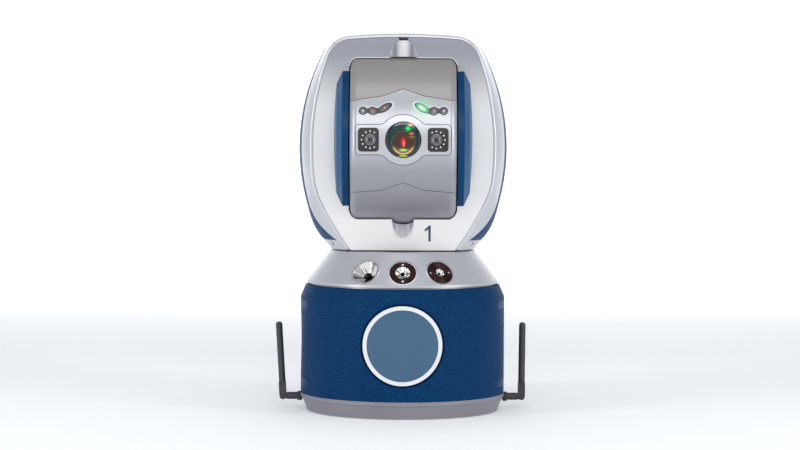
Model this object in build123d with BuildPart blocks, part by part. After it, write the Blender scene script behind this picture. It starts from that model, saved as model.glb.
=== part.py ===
from build123d import *
import math
import os

os.makedirs("parts", exist_ok=True)

# Laser tracker head: a round base, a yoke that turns on it and a drum that tilts in the yoke.
# Millimetres. Origin at the centre of the base's underside, +Z up, the lens looks along -Y.

# ---------------------------------------------------------------- driving dimensions
fit = 0.05                   # radial clearance of a seated or running round fit
seam = 0.3                   # visible gap between two covers

# base
base_radius = 112.0          # outside of the blue shell
base_wall = 4.0
foot_height = 19.2           # foot ring, floor to shell
foot_taper = 7.0             # how far the foot tucks in at the floor
foot_lip = 4.0               # height of the full-radius lip
foot_floor = 8.0             # thickness of the foot casting's floor
shell_height = 119.0         # blue shell, foot ring to top
shoulder_drop = 13.0         # height of the shell's sloping shoulder
shoulder_inset = 5.5
collar_height = 37.8         # silver cone with the nests
collar_lip = 4.5             # height of the straight lip under the cone
collar_wall = 4.0
collar_top_radius = 79.0
collar_gap = 1.5             # running gap between collar and yoke
thread_radius = 42.73        # bore of the 3.5 in - 8 stand thread
thread_length = 14.0

# nests for reflector balls of 1.5, 7/8 and 1/2 inch
nest_radius = 14.0
nest_depth = 16.0
nest_pitch_angle = 25.0
nest_face_radii = {"large": 19.05, "medium": 11.11, "small": 6.35}

# badge on the front of the shell
badge_radius = 42.3
badge_ring_width = 4.2
badge_depth = 1.6
badge_gap = 2.0

# azimuth axis
shaft_radius = 25.0
shaft_bore = 15.0
bearing_outer = 38.0
bearing_width = 13.0
tower_wall = 8.0
plate_thickness = 6.0

# head (drum)
head_radius = 100.0
head_half_width = 57.0
head_wall = 4.0
head_edge = 8.0              # rounding of the drum's rims
head_gap = 1.5               # between the drum and the yoke

# yoke
arm_width = 55.4             # drum side to the widest outside point
yoke_half_depth = 52.0
yoke_floor = 19.0            # under the drum
yoke_bridge = 16.8           # over the drum
cover_thickness = 3.0
cover_margin = 3.0           # rounded band left round each cover
cap_wall = 5.0
cap_seam_drop = 16.3         # height of the top cap's skirts
panel_thickness = 3.0
panel_half_depth = 25.0
disc_radius = 89.0           # blue trunnion covers
disc_thickness = 16.0

# zenith axis
trunnion_radius = 10.0
zenith_bearing_outer = 16.0
zenith_bearing_width = 9.0
arm_pocket_radius = 23.0

# lens and cameras
lens_radius = 19.5
lens_drop = 1.0              # lens centre below the zenith axis
camera_radius = 6.6

# antennas
antenna_height = 14.0        # axis of the jacks above the floor
jack_radius = 3.0
nut_radius = 4.8
barrel_radius = 4.0
barrel_length = 11.0
blade_radius = 3.65
blade_length = 82.0
pin_radius = 1.0

# ---------------------------------------------------------------- derived stack of heights
shell_top = foot_height + shell_height
collar_top = shell_top + collar_height
yoke_bottom = collar_top + collar_gap
cavity_radius = head_radius + head_gap
zenith_height = yoke_bottom + yoke_floor + cavity_radius
yoke_top = zenith_height + cavity_radius + yoke_bridge
cavity_half_width = head_half_width + head_gap
yoke_half_width = cavity_half_width + arm_width
window_half_height = math.sqrt(cavity_radius ** 2 - yoke_half_depth ** 2)
cap_seam_height = yoke_top - cap_seam_drop
shell_inner = base_radius - base_wall
lens_height = zenith_height - lens_drop
head_inner = head_radius - head_wall

zenith_plane = Plane(origin=(0, 0, zenith_height), x_dir=(0, 1, 0), z_dir=(1, 0, 0))
lens_plane = Plane(origin=(0, 0, lens_height), x_dir=(1, 0, 0), z_dir=(0, -1, 0))


def write(piece, name):
    """Label a finished piece and write its STEP file."""
    piece.part.label = name
    export_step(piece.part, f"parts/{name}.step")


def tube(outer, inner, bottom, top, plane=Plane.XY):
    """A plain ring between two heights on a plane."""
    with BuildPart() as ring:
        with BuildSketch(plane.offset(bottom)):
            Circle(outer)
            if inner > 0:
                Circle(inner, mode=Mode.SUBTRACT)
        extrude(amount=top - bottom)
    return ring.part


def block(x_span, y_span, z_span):
    """A box given by its three spans."""
    with BuildPart() as box:
        with BuildSketch(Plane.XY.offset(z_span[0])):
            with Locations(((x_span[0] + x_span[1]) / 2, (y_span[0] + y_span[1]) / 2)):
                Rectangle(x_span[1] - x_span[0], y_span[1] - y_span[0])
        extrude(amount=z_span[1] - z_span[0])
    return box.part


def ball_bearing(bore, outer, width, plane):
    """Two races and a ring of balls, centred on a plane."""
    race = (outer - bore) * 0.28
    ball = (outer - bore - 2 * race) / 2 - fit
    pitch = (outer + bore) / 2
    ball_count = int(math.pi * pitch / (ball * 1.35))
    with BuildPart() as bearing:
        add(tube(outer, outer - race, -width / 2, width / 2, plane))
        add(tube(bore + race, bore, -width / 2, width / 2, plane))
        with Locations(plane):
            with PolarLocations(pitch, ball_count):
                Sphere(ball)
    return bearing.part


# ================================================================ BASE
# Foot ring: aluminium casting with the floor, the hub for the stand thread and six screw bosses.
foot_wall_inner = shell_inner - 10.0
hub_bore = thread_radius + 11.0
hub_radius = hub_bore + 8.0
foot_screw_circle = (foot_wall_inner + hub_radius) / 2
foot_screw_count = 6
foot_boss_radius = 7.0
foot_screw_radius = 2.5
foot_head_radius = 4.5
foot_head_depth = 5.0
spot_radius = nut_radius + 0.2
spot_face = base_radius - 2.0
with BuildPart() as base_ring:
    with BuildSketch(Plane.XZ):
        with BuildLine():
            Polyline(
                (hub_bore, 0), (base_radius - foot_taper, 0),
                (base_radius - 1.5, foot_height - foot_lip), (base_radius, foot_height - foot_lip),
                (base_radius, foot_height), (foot_wall_inner, foot_height),
                (foot_wall_inner, foot_floor), (hub_radius, foot_floor),
                (hub_radius, foot_height), (hub_bore, foot_height), close=True)
        make_face()
    revolve(axis=Axis.Z)
    with BuildSketch(Plane.XY.offset(foot_floor / 2)):
        with PolarLocations(foot_screw_circle, foot_screw_count):
            Circle(foot_boss_radius)
    extrude(amount=foot_height - foot_floor / 2)
    with BuildSketch(Plane.XY):
        with PolarLocations(foot_screw_circle, foot_screw_count):
            Circle(foot_head_radius + fit)
    extrude(amount=foot_head_depth + 1.0, mode=Mode.SUBTRACT)
    with BuildSketch(Plane.XY):
        with PolarLocations(foot_screw_circle, foot_screw_count):
            Circle(foot_screw_radius + fit)
    extrude(amount=foot_height, mode=Mode.SUBTRACT)
    # jack holes right and left, each with a flat for the antenna's nut
    with BuildSketch(Plane.YZ.offset(-base_radius)):
        with Locations((0, antenna_height)):
            Circle(jack_radius + fit)
    extrude(amount=2 * base_radius, mode=Mode.SUBTRACT)
    for side in (-1, 1):
        with BuildSketch(Plane.YZ.offset(side * spot_face)):
            with Locations((0, antenna_height)):
                Circle(spot_radius)
        extrude(amount=side * 5.0, mode=Mode.SUBTRACT)
write(base_ring, "base_ring")

# Steel ring with the stand thread, let into the hub from below.
with BuildPart() as stand_thread_ring:
    add(tube(hub_bore - fit, thread_radius, 0.5, 0.5 + thread_length))
    chamfer(stand_thread_ring.edges().filter_by(GeomType.CIRCLE).sort_by(Axis.Z)[0:1], 0.8)
write(stand_thread_ring, "stand_thread_ring")

# Socket-head screws that hold the chassis down on the foot ring.
with BuildPart() as foot_screws:
    with BuildSketch(Plane.XY.offset(1.0)):
        with PolarLocations(foot_screw_circle, foot_screw_count):
            Circle(foot_head_radius)
            RegularPolygon(2.3, 6, mode=Mode.SUBTRACT)
    extrude(amount=foot_head_depth)
    with BuildSketch(Plane.XY.offset(foot_head_depth - 1.0)):
        with PolarLocations(foot_screw_circle, foot_screw_count):
            Circle(foot_screw_radius)
    extrude(amount=foot_height + plate_thickness - foot_head_depth)
write(foot_screws, "foot_screws")


# Badge and side pads are let into the shell; both are patches of its cylinder.
def shell_patch(outline, plane, inner, outer):
    """The part of a vertical cylinder wall that lies behind an outline."""
    with BuildPart() as patch:
        with BuildSketch(plane):
            add(outline)
        extrude(amount=base_radius + 10.0)
        add(tube(outer, inner, 0, shell_top), mode=Mode.INTERSECT)
    return patch.part


badge_height = foot_height + shell_height / 2 + 0.3
badge_plane = Plane(origin=(0, 0, badge_height), x_dir=(1, 0, 0), z_dir=(0, -1, 0))
with BuildSketch() as badge_hole:
    Circle(badge_radius + badge_gap)
with BuildSketch() as badge_annulus:
    Circle(badge_radius)
    Circle(badge_radius - badge_ring_width, mode=Mode.SUBTRACT)
with BuildSketch() as badge_face:
    Circle(badge_radius - badge_ring_width - 0.15)

pad_height = 9.0
pad_margin = 8.0
pad_half_angle = 23.0
pad_depth = 2.0
pad_half_width = base_radius * math.sin(math.radians(pad_half_angle))
pad_levels = (foot_height + pad_margin + pad_height / 2, shell_top - shoulder_drop - pad_margin)


def pad_outline(growth):
    """Two slim pads with round ends, one low and one high on the shell."""
    with BuildSketch() as pads:
        for level in pad_levels:
            with Locations((0, level)):
                RectangleRounded(
                    2 * (pad_half_width + growth), pad_height + 2 * growth,
                    pad_height / 2 + growth - 0.01)
    return pads.sketch


# Base shell: painted blue cylinder with a sloping shoulder and a flange that carries the collar.
flange_inner = base_radius - 16.0
flange_thickness = 4.0
panel_window = {"half_width": 33.0, "bottom": 40.0, "top": 94.0}
with BuildPart() as base_shell:
    with BuildSketch(Plane.XZ):
        with BuildLine():
            Polyline(
                (shell_inner, foot_height), (base_radius, foot_height),
                (base_radius, shell_top - shoulder_drop), (base_radius - shoulder_inset, shell_top),
                (flange_inner, shell_top), (flange_inner, shell_top - flange_thickness),
                (shell_inner - shoulder_inset, shell_top - flange_thickness),
                (shell_inner, shell_top - shoulder_drop - 1.5), close=True)
        make_face()
    revolve(axis=Axis.Z)
    fillet(base_shell.edges().filter_by(GeomType.CIRCLE).group_by(Axis.Z)[-1].sort_by(SortBy.RADIUS)[-1], 1.2)
    add(shell_patch(badge_hole.sketch, badge_plane, base_radius - badge_depth, base_radius + 5),
        mode=Mode.SUBTRACT)
    for side in (-1, 1):
        pad_plane = Plane(origin=(0, 0, 0), x_dir=(0, side, 0), z_dir=(side, 0, 0))
        add(shell_patch(pad_outline(seam), pad_plane, base_radius - pad_depth, base_radius + 5),
            mode=Mode.SUBTRACT)
    add(block((-panel_window["half_width"], panel_window["half_width"]), (shell_inner * 0.6, base_radius + 5),
              (panel_window["bottom"], panel_window["top"])), mode=Mode.SUBTRACT)
write(base_shell, "base_shell")

with BuildPart() as badge_ring:
    add(shell_patch(badge_annulus.sketch, badge_plane, base_radius - badge_depth, base_radius - 0.1))
write(badge_ring, "badge_ring")

with BuildPart() as badge_disc:
    add(shell_patch(badge_face.sketch, badge_plane, base_radius - badge_depth, base_radius - 0.6))
write(badge_disc, "badge_disc")

with BuildPart() as side_pads:
    for side in (-1, 1):
        pad_plane = Plane(origin=(0, 0, 0), x_dir=(0, side, 0), z_dir=(side, 0, 0))
        add(shell_patch(pad_outline(0.0), pad_plane, base_radius - pad_depth, base_radius))
write(side_pads, "side_pads")

# Collar: silver cone on a straight lip, bored square to the cone for the three nests.
collar_radius = base_radius - 7.0
cone_bottom = shell_top + collar_lip
cone_length = math.hypot(collar_radius - collar_top_radius, collar_top - cone_bottom)
cone_normal = ((collar_top - cone_bottom) / cone_length, (collar_radius - collar_top_radius) / cone_length)
wall_r = collar_wall * cone_normal[0]
wall_z = collar_wall * cone_normal[1]
collar_opening = collar_top_radius - 19.0
nest_height = cone_bottom + 0.4 * (collar_top - cone_bottom)
nest_cone_radius = collar_radius - 0.4 * (collar_radius - collar_top_radius)
nest_rim_radius = nest_radius + 2.0
nest_recess = 1.6            # depth of the flat seat at the cone's crown


def nest_plane(index):
    """Plane on the cone at one nest, its normal square to the cone."""
    angle = math.radians(index * nest_pitch_angle)
    outward = (math.sin(angle), -math.cos(angle))
    origin = (outward[0] * nest_cone_radius, outward[1] * nest_cone_radius, nest_height)
    normal = (outward[0] * cone_normal[0], outward[1] * cone_normal[0], cone_normal[1])
    return Plane(origin=origin, x_dir=(math.cos(angle), math.sin(angle), 0), z_dir=normal)


with BuildPart() as collar:
    with BuildSketch(Plane.XZ):
        with BuildLine():
            Polyline(
                (collar_radius - 9.0, shell_top), (collar_radius - 4.0, shell_top),
                (collar_radius - 4.0, shell_top + 2.0), (collar_radius, shell_top + 2.0),
                (collar_radius, cone_bottom), (collar_top_radius, collar_top),
                (collar_opening, collar_top), (collar_opening, collar_top - wall_z - 1.5),
                (collar_top_radius - wall_r - 2.0, collar_top - wall_z - 1.5),
                (collar_radius - 9.0, cone_bottom - 1.0), close=True)
        make_face()
    revolve(axis=Axis.Z)
    for index in (-1, 0, 1):
        seat = nest_plane(index)
        with BuildSketch(seat.offset(-nest_recess)):
            Circle(nest_rim_radius)
        extrude(amount=10.0, mode=Mode.SUBTRACT)
        with BuildSketch(seat.offset(-nest_depth)):
            Circle(nest_radius + fit)
        extrude(amount=nest_depth + 5.0, mode=Mode.SUBTRACT)
    fillet(collar.edges().filter_by(GeomType.CIRCLE).group_by(Axis.Z)[-1].sort_by(SortBy.RADIUS)[-1], 1.0)
write(collar, "collar")

# Nests: steel cups. The large one is a fluted cone, the other two are plates with a spherical bowl.
bowl_radii = {"medium": 7.75, "small": 4.65}
for index, size in ((-1, "large"), (0, "medium"), (1, "small")):
    seat = nest_plane(index)
    ball_radius = nest_face_radii[size]
    with BuildPart() as nest:
        with BuildSketch(seat.offset(-nest_depth)):
            Circle(nest_radius)
        extrude(amount=nest_depth - nest_recess + 0.8)
        if size == "large":
            cone_depth = 8.0
            with BuildSketch(seat.offset(-nest_recess + 0.8)):
                Circle(nest_radius - 0.6)
            with BuildSketch(seat.offset(-nest_recess + 0.8 - cone_depth)):
                Circle(4.7)
            loft(mode=Mode.SUBTRACT)
            with BuildSketch(seat.offset(-nest_recess - cone_depth - 4.0)):
                Circle(4.7)
            extrude(amount=6.0, mode=Mode.SUBTRACT)
        else:
            bowl = bowl_radii[size]
            rise = math.sqrt(ball_radius ** 2 - bowl ** 2)
            with Locations(seat.offset(-nest_recess + 0.8 + rise)):
                Sphere(ball_radius, mode=Mode.SUBTRACT)
            screw_angle = 90 if size == "medium" else 0
            with BuildSketch(seat.offset(-nest_recess + 0.8)):
                with PolarLocations(nest_radius - 3.3, 2, start_angle=screw_angle):
                    Circle(1.3)
            extrude(amount=-3.0, mode=Mode.SUBTRACT)
    write(nest, f"nest_{size}")

# Small screws that hold the magnets of the two plate nests.
with BuildPart() as nest_screws:
    for index, screw_angle in ((0, 90), (1, 0)):
        with BuildSketch(nest_plane(index).offset(-nest_recess + 0.5)):
            with PolarLocations(nest_radius - 3.3, 2, start_angle=screw_angle):
                Circle(1.25)
        extrude(amount=-2.6)
write(nest_screws, "nest_screws")

# Chassis: plate on the foot ring with the tower that houses the azimuth bearings and motor.
tower_radius = bearing_outer + tower_wall
tower_top = collar_top - 19.0
plate_bottom = foot_height
plate_top = plate_bottom + plate_thickness
supply_height = 34.0
board_bottom = plate_top + supply_height + 11.0
board_outer = shell_inner - 24.0
standoff_radius = 3.0
with BuildPart() as base_chassis:
    add(tube(shell_inner - 0.6, 30.0, plate_bottom, plate_top))
    add(tube(tower_radius, bearing_outer + fit, plate_top - 1.0, tower_top))
    with BuildSketch(Plane.XY.offset(plate_bottom)):
        with PolarLocations(foot_screw_circle, foot_screw_count):
            Circle(foot_screw_radius + fit)
    extrude(amount=plate_thickness, mode=Mode.SUBTRACT)
    with BuildSketch(Plane.XY.offset(plate_top - 1.0)):
        with PolarLocations(board_outer - 6.0, 4, start_angle=30):
            Circle(standoff_radius)
    extrude(amount=board_bottom - plate_top + 1.0)
    rib_top = plate_top + 30.0
    rib_angles = (45, 135, 225, 315)
    for angle in rib_angles:
        rib_plane = Plane.XZ.rotated((0, 0, angle))
        with BuildSketch(rib_plane.offset(-2.0)):
            with BuildLine():
                Polyline((tower_radius - 1.0, plate_top - 1.0), (tower_radius + 20.0, plate_top - 1.0),
                         (tower_radius - 1.0, rib_top), close=True)
            make_face()
        extrude(amount=4.0)
write(base_chassis, "base_chassis")

# Azimuth bearings, low and high in the tower.
lower_bearing = plate_top + 41.0
upper_bearing = tower_top - bearing_width / 2 - 4.0
with BuildPart() as azimuth_bearings:
    for level in (lower_bearing, upper_bearing):
        add(ball_bearing(shaft_radius + fit, bearing_outer, bearing_width, Plane.XY.offset(level)))
write(azimuth_bearings, "azimuth_bearings")

# Direct-drive azimuth motor between the bearings.
motor_half_length = 15.0
motor_level = (lower_bearing + upper_bearing) / 2
air_gap = 0.5
rotor_outer = shaft_radius + 5.5
with BuildPart() as azimuth_stator:
    add(tube(bearing_outer, rotor_outer + air_gap, motor_level - motor_half_length,
             motor_level + motor_half_length))
write(azimuth_stator, "azimuth_stator")

# Two read heads on the tower's rim look up at the encoder disc.
encoder_bottom = yoke_bottom - 13.5
read_head_gap = 0.4
with BuildPart() as azimuth_read_heads:
    with BuildSketch(Plane.XY.offset(tower_top)):
        with PolarLocations(tower_radius - tower_wall / 2, 2):
            Rectangle(tower_wall - 1.0, 12.0)
    extrude(amount=encoder_bottom - read_head_gap - tower_top)
write(azimuth_read_heads, "azimuth_read_heads")

# Slip ring: carries power and data up the hollow shaft.
slip_flange = 3.0
with BuildPart() as slip_ring:
    add(tube(bearing_outer - 3.0, 0, plate_top, plate_top + slip_flange))
    add(tube(shaft_bore - 1.5, 0, plate_top + slip_flange - 1.0, motor_level))
write(slip_ring, "slip_ring")

# Power supply on the plate and the control board over it on the chassis's four standoffs.
supply_half_width = 35.0
supply_front = -(shell_inner - 11.0)
with BuildPart() as power_supply:
    add(block((-supply_half_width, supply_half_width), (supply_front, -tower_radius - 14.0),
              (plate_top, plate_top + supply_height)))
    fillet(power_supply.edges().filter_by(Axis.Z), 2.0)
write(power_supply, "power_supply")

board_thickness = 1.6
board_inner = tower_radius + 10.0
chip_count = 8
with BuildPart() as control_board:
    add(tube(board_outer, board_inner, board_bottom, board_bottom + board_thickness))
    with BuildSketch(Plane.XY.offset(board_bottom + board_thickness)):
        with PolarLocations((board_outer + board_inner) / 2, chip_count, start_angle=12):
            Rectangle(14.0, 12.0)
    extrude(amount=3.0)
write(control_board, "control_board")

# Connector panel behind the window in the rear of the shell.
panel_margin = 5.0
panel_face = math.sqrt((shell_inner - 0.2) ** 2 - (panel_window["half_width"] + panel_margin) ** 2)
panel_plate = 3.0
panel_plane = Plane(origin=(0, panel_face, 0), x_dir=(-1, 0, 0), z_dir=(0, 1, 0))
panel_low = panel_window["bottom"] + 13.0
panel_high = panel_window["top"] - 14.0
socket_column = 17.0
power_socket_radius = 9.5
data_socket_width = 16.0
data_socket_height = 14.0
button_radius = 7.0
button_stem = 3.0
button_travel = 1.5
probe_radius = 5.0
with BuildPart() as connector_panel:
    add(block((-panel_window["half_width"] - panel_margin, panel_window["half_width"] + panel_margin),
              (panel_face - panel_plate, panel_face),
              (panel_window["bottom"] - panel_margin, panel_window["top"] + panel_margin)))
    with BuildSketch(panel_plane):
        with Locations((-socket_column, panel_high)):
            Circle(power_socket_radius + fit)
        with Locations((socket_column, panel_high)):
            Rectangle(data_socket_width + 2 * fit, data_socket_height + 2 * fit)
        with Locations((-socket_column, panel_low)):
            Circle(button_stem + fit)
        with Locations((socket_column, panel_low)):
            Circle(probe_radius + fit)
    extrude(amount=-panel_plate, mode=Mode.SUBTRACT)
    # housing of the button's switch on the panel's back, with room for the stem's travel
    with BuildSketch(panel_plane.offset(-panel_plate)):
        with Locations((-socket_column, panel_low)):
            Rectangle(15.0, 15.0)
            Circle(button_stem + 0.4, mode=Mode.SUBTRACT)
    extrude(amount=-button_travel - 1.0)
    with BuildSketch(panel_plane.offset(-panel_plate - button_travel - 1.0)):
        with Locations((-socket_column, panel_low)):
            Rectangle(15.0, 15.0)
    extrude(amount=-7.0)
write(connector_panel, "connector_panel")

socket_front = 6.0
socket_back = 12.0
pin_count = 4
with BuildPart() as power_socket:
    with BuildSketch(panel_plane.offset(-socket_back)):
        with Locations((-socket_column, panel_high)):
            Circle(power_socket_radius)
    extrude(amount=socket_back + socket_front)
    with BuildSketch(panel_plane):
        with Locations((-socket_column, panel_high)):
            Circle(power_socket_radius + 2.0)
            Circle(power_socket_radius - 0.5, mode=Mode.SUBTRACT)
    extrude(amount=1.5)
    with BuildSketch(panel_plane.offset(-socket_back / 2)):
        with Locations((-socket_column, panel_high)):
            Circle(power_socket_radius - 1.8)
            with PolarLocations(4.0, pin_count):
                Circle(0.9, mode=Mode.SUBTRACT)
    extrude(amount=socket_back + socket_front, mode=Mode.SUBTRACT)
write(power_socket, "power_socket")

with BuildPart() as data_sockets:
    with BuildSketch(panel_plane.offset(-socket_back)):
        with Locations((socket_column, panel_high)):
            Rectangle(data_socket_width, data_socket_height)
    extrude(amount=socket_back + 1.5)
    with BuildSketch(panel_plane.offset(-socket_back + 2.0)):
        with Locations((socket_column, panel_high)):
            Rectangle(data_socket_width - 4.0, data_socket_height - 6.0)
    extrude(amount=socket_back + 2.0, mode=Mode.SUBTRACT)
    with BuildSketch(panel_plane.offset(-socket_back)):
        with Locations((socket_column, panel_low)):
            Circle(probe_radius)
    extrude(amount=socket_back + 4.0)
    with BuildSketch(panel_plane.offset(-3.0)):
        with Locations((socket_column, panel_low)):
            Circle(probe_radius - 1.4)
    extrude(amount=8.0, mode=Mode.SUBTRACT)
write(data_sockets, "data_sockets")

# Push button: cap in front of the panel, stem through it, switch behind.
button_gap = button_travel + 0.4
button_cap = 3.2
with BuildPart() as power_button:
    with BuildSketch(panel_plane.offset(button_gap)):
        with Locations((-socket_column, panel_low)):
            Circle(button_radius)
    extrude(amount=button_cap)
    fillet(power_button.edges().filter_by(GeomType.CIRCLE).sort_by(Axis.Y)[-1], 0.8)
    with BuildSketch(panel_plane.offset(-panel_plate - 0.5)):
        with Locations((-socket_column, panel_low)):
            Circle(button_stem)
    extrude(amount=panel_plate + 0.5 + button_gap)
write(power_button, "power_button")

# ================================================================ YOKE
# The yoke's outside is lofted through a fuller section at mid-depth and a slimmer one at each face.
widest_height = zenith_height - 10.0
mid_section = {
    "half_width": yoke_half_width, "bottom": collar_top_radius, "knee": (96.0 / 113.9, 22.0),
    "shoulder": (86.6 / 113.9, 21.3), "round": (33.5, 54.0), "top_drop": 0.0}
face_section = {
    "half_width": yoke_half_width - 13.4, "bottom": collar_top_radius - 18.8, "knee": (83.0 / 100.5, 36.5),
    "shoulder": (83.5 / 100.5, 28.3), "round": (30.0, 65.8), "top_drop": 6.0}
join_drop = {"mid": 56.0, "face": 34.0}


def yoke_outline(section, join, inset):
    """Front outline of the yoke: flat foot, swelling sides, rounded shoulders, crowned top."""
    widest = section["half_width"]
    shoulder_x = widest * section["shoulder"][0]
    shoulder_z = yoke_top - section["shoulder"][1]
    rise = shoulder_z - widest_height
    swell = widest - shoulder_x
    radius = (rise ** 2 + swell ** 2) / (2 * swell)
    centre_x = widest - radius
    side_radius = radius - inset
    lean = math.asin(rise / radius)
    dip = math.asin(join / radius)
    start = (centre_x + side_radius * math.cos(dip), widest_height - side_radius * math.sin(dip))
    shoulder = (centre_x + side_radius * math.cos(lean), widest_height + side_radius * math.sin(lean))
    knee = (widest * section["knee"][0] - 0.87 * inset, yoke_bottom + section["knee"][1] + 0.49 * inset)
    foot = (section["bottom"] - 1.4 * inset, yoke_bottom)
    round_radius, turn = section["round"]
    top = yoke_top - section["top_drop"] - inset
    with BuildSketch() as outline:
        with BuildLine():
            Spline(foot, knee, start, tangents=((0.62, 0.78), (math.sin(dip), math.cos(dip))))
            side = ThreePointArc(start, (centre_x + side_radius, widest_height), shoulder)
            corner = JernArc(shoulder, (-math.sin(lean), math.cos(lean)), round_radius - inset, turn)
            mirror(about=Plane.YZ)
            crown = corner @ 1
            ThreePointArc(crown, (0, top), (-crown.X, crown.Y))
            Line((-foot[0], foot[1]), foot)
        make_face()
    return outline.sketch


def yoke_envelope(inset):
    """The yoke's outer body, drawn in by an inset."""
    with BuildPart() as envelope:
        with BuildSketch(Plane.XZ.offset(yoke_half_depth)):
            add(yoke_outline(face_section, join_drop["face"], inset))
        with BuildSketch(Plane.XZ):
            add(yoke_outline(mid_section, join_drop["mid"], inset))
        with BuildSketch(Plane.XZ.offset(-yoke_half_depth)):
            add(yoke_outline(face_section, join_drop["face"], inset))
        loft()
    return envelope.part



rim_round = 2.6
with BuildPart() as rounded_envelope:
    add(yoke_envelope(0.0))
    end_faces = rounded_envelope.faces().sort_by(Axis.Y)
    rims = end_faces[0].edges() + end_faces[-1].edges()
    fillet(rims.filter_by(GeomType.LINE, reverse=True), rim_round)

zenith_front = Plane(origin=(0, 0, zenith_height), x_dir=(1, 0, 0), z_dir=(0, -1, 0))
zenith_axis = Axis((0, 0, zenith_height), (1, 0, 0))


def drum_body(growth):
    """The drum's outside with rounded rims, grown by a clearance."""
    half_width = head_half_width + growth
    radius = head_radius + growth
    edge = head_edge + growth
    with BuildPart() as drum:
        with BuildSketch(zenith_front):
            with BuildLine():
                Polyline((-half_width, radius - edge), (-half_width, 0), (half_width, 0),
                         (half_width, radius - edge))
                RadiusArc((half_width, radius - edge), (half_width - edge, radius), -edge)
                Line((half_width - edge, radius), (-half_width + edge, radius))
                RadiusArc((-half_width + edge, radius), (-half_width, radius - edge), -edge)
            make_face()
        revolve(axis=zenith_axis)
    return drum.part


disc_rim = 6.5               # height of the disc's straight rim
disc_bevel = 13.0            # where its bevel ends
boss_radius = 50.0           # bearing boss that the disc fits over
disc_plate = 3.0


def disc_body(side, growth, hub):
    """A trunnion cover, or the space it needs when grown; hub is the radius of its centre hole."""
    inner = cavity_half_width - (1.0 if growth > 0 else 0.0)
    with BuildPart() as disc:
        with BuildSketch(zenith_front):
            with BuildLine():
                Polyline(
                    (side * inner, hub), (side * inner, disc_radius + growth),
                    (side * (cavity_half_width + disc_rim + 0.6 * growth), disc_radius + growth),
                    (side * (cavity_half_width + disc_bevel + growth), disc_radius - 11.0 + growth),
                    (side * (cavity_half_width + disc_thickness + growth), boss_radius - growth),
                    (side * (cavity_half_width + disc_plate + growth), boss_radius - growth),
                    (side * (cavity_half_width + disc_plate + growth), hub), close=True)
            make_face()
        revolve(axis=zenith_axis)
    return disc.part


# Half-round scoop under the window: a slanting round groove that runs out on the cover.
scoop_radius = 12.0
scoop_slope = 0.46
window_bottom = zenith_height - window_half_height
with BuildPart() as lower_scoop:
    scoop_plane = Plane(origin=(0, -yoke_half_depth, window_bottom), x_dir=(1, 0, 0),
                        z_dir=(0, scoop_slope, math.sqrt(1 - scoop_slope ** 2)))
    with BuildSketch(scoop_plane):
        Circle(scoop_radius)
    extrude(amount=scoop_radius * 2.6, both=True)

# Tapering scoop over the window, wide and shallow below, narrow above, with a slot at its top end.
window_top = zenith_height + window_half_height
cover_top = yoke_top - face_section["top_drop"] - cover_margin
relief_depth = 2.4
with BuildPart() as upper_scoop:
    for level, half_width in ((window_top - 2.0, 15.6), (cover_top - 2.5, 6.5)):
        radius = (half_width ** 2 + relief_depth ** 2) / (2 * relief_depth)
        with BuildSketch(Plane.XY.offset(level)):
            with Locations((0, -yoke_half_depth - radius + relief_depth)):
                Circle(radius)
    loft()
    with BuildSketch(Plane.XZ.offset(yoke_half_depth)):
        with Locations((0, cover_top - 4.0)):
            SlotOverall(11.0, 3.0)
    extrude(amount=-cover_thickness + 0.6)


def panel_outline(growth):
    """Side view of a grip panel: straight above, flaring out along an arc to its foot."""
    top = cap_seam_height - 1.5 + growth
    bend = yoke_bottom + 54.0
    flare = 20.0
    drop = bend - yoke_bottom - 11.0
    arc_radius = (flare ** 2 + drop ** 2) / (2 * flare)
    centre = panel_half_depth + arc_radius
    inner_radius = arc_radius - growth
    turn = math.asin((drop + growth) / inner_radius)
    start = (centre - inner_radius, bend)
    middle = (centre - inner_radius * math.cos(turn / 2), bend - inner_radius * math.sin(turn / 2))
    end = (centre - inner_radius * math.cos(turn), bend - inner_radius * math.sin(turn))
    with BuildSketch() as outline:
        with BuildLine():
            Polyline((0, top), (start[0], top), start)
            ThreePointArc(start, middle, end)
            Line(end, (0, end[1]))
            mirror(about=Plane.YZ)
        make_face()
    return outline.sketch


def side_space(side, growth):
    """The band of space a grip panel takes up, seen from the side."""
    with BuildPart() as space:
        side_plane = Plane(origin=(0, 0, 0), x_dir=(0, side, 0), z_dir=(side, 0, 0))
        with BuildSketch(side_plane.offset(collar_top_radius / 2)):
            add(panel_outline(growth))
        extrude(amount=yoke_half_width)
    return space.part


above_cap_seam = block((-yoke_half_width, yoke_half_width), (-yoke_half_depth - 1, yoke_half_depth + 1),
                       (cap_seam_height, yoke_top + 5))
cap_core = yoke_envelope(cap_wall + fit)
panel_core = yoke_envelope(panel_thickness + seam)
with BuildPart() as cap_space:
    add(above_cap_seam)
    add(cap_core, mode=Mode.SUBTRACT)


def cover_blank(inset, front):
    """A cover's outline at the front (1) or rear (-1) face, as thick as the cover."""
    with BuildPart() as blank:
        with BuildSketch(Plane.XZ.offset(front * yoke_half_depth)):
            add(yoke_outline(face_section, join_drop["face"], inset))
        extrude(amount=-front * cover_thickness)
    return blank.part


# Small screws low at the four corners, each at the bottom of a short well.
corner_drop = 6.5
corner_angle = 24.0
corner_reach = collar_top_radius + 4.5
corner_screw_radius = 2.2
corner_well = 4.0


def corner_plane(x_sign, y_sign):
    """Plane square to the yoke's side, at the bottom of one corner's screw well."""
    angle = math.radians(corner_angle)
    outward = (x_sign * math.cos(angle), y_sign * math.sin(angle), 0)
    reach = corner_reach - corner_well
    origin = (outward[0] * reach, outward[1] * reach, yoke_bottom + corner_drop)
    return Plane(origin=origin, x_dir=(0, 0, 1), z_dir=outward)


corners = [(x_sign, y_sign) for x_sign in (-1, 1) for y_sign in (-1, 1)]

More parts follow.
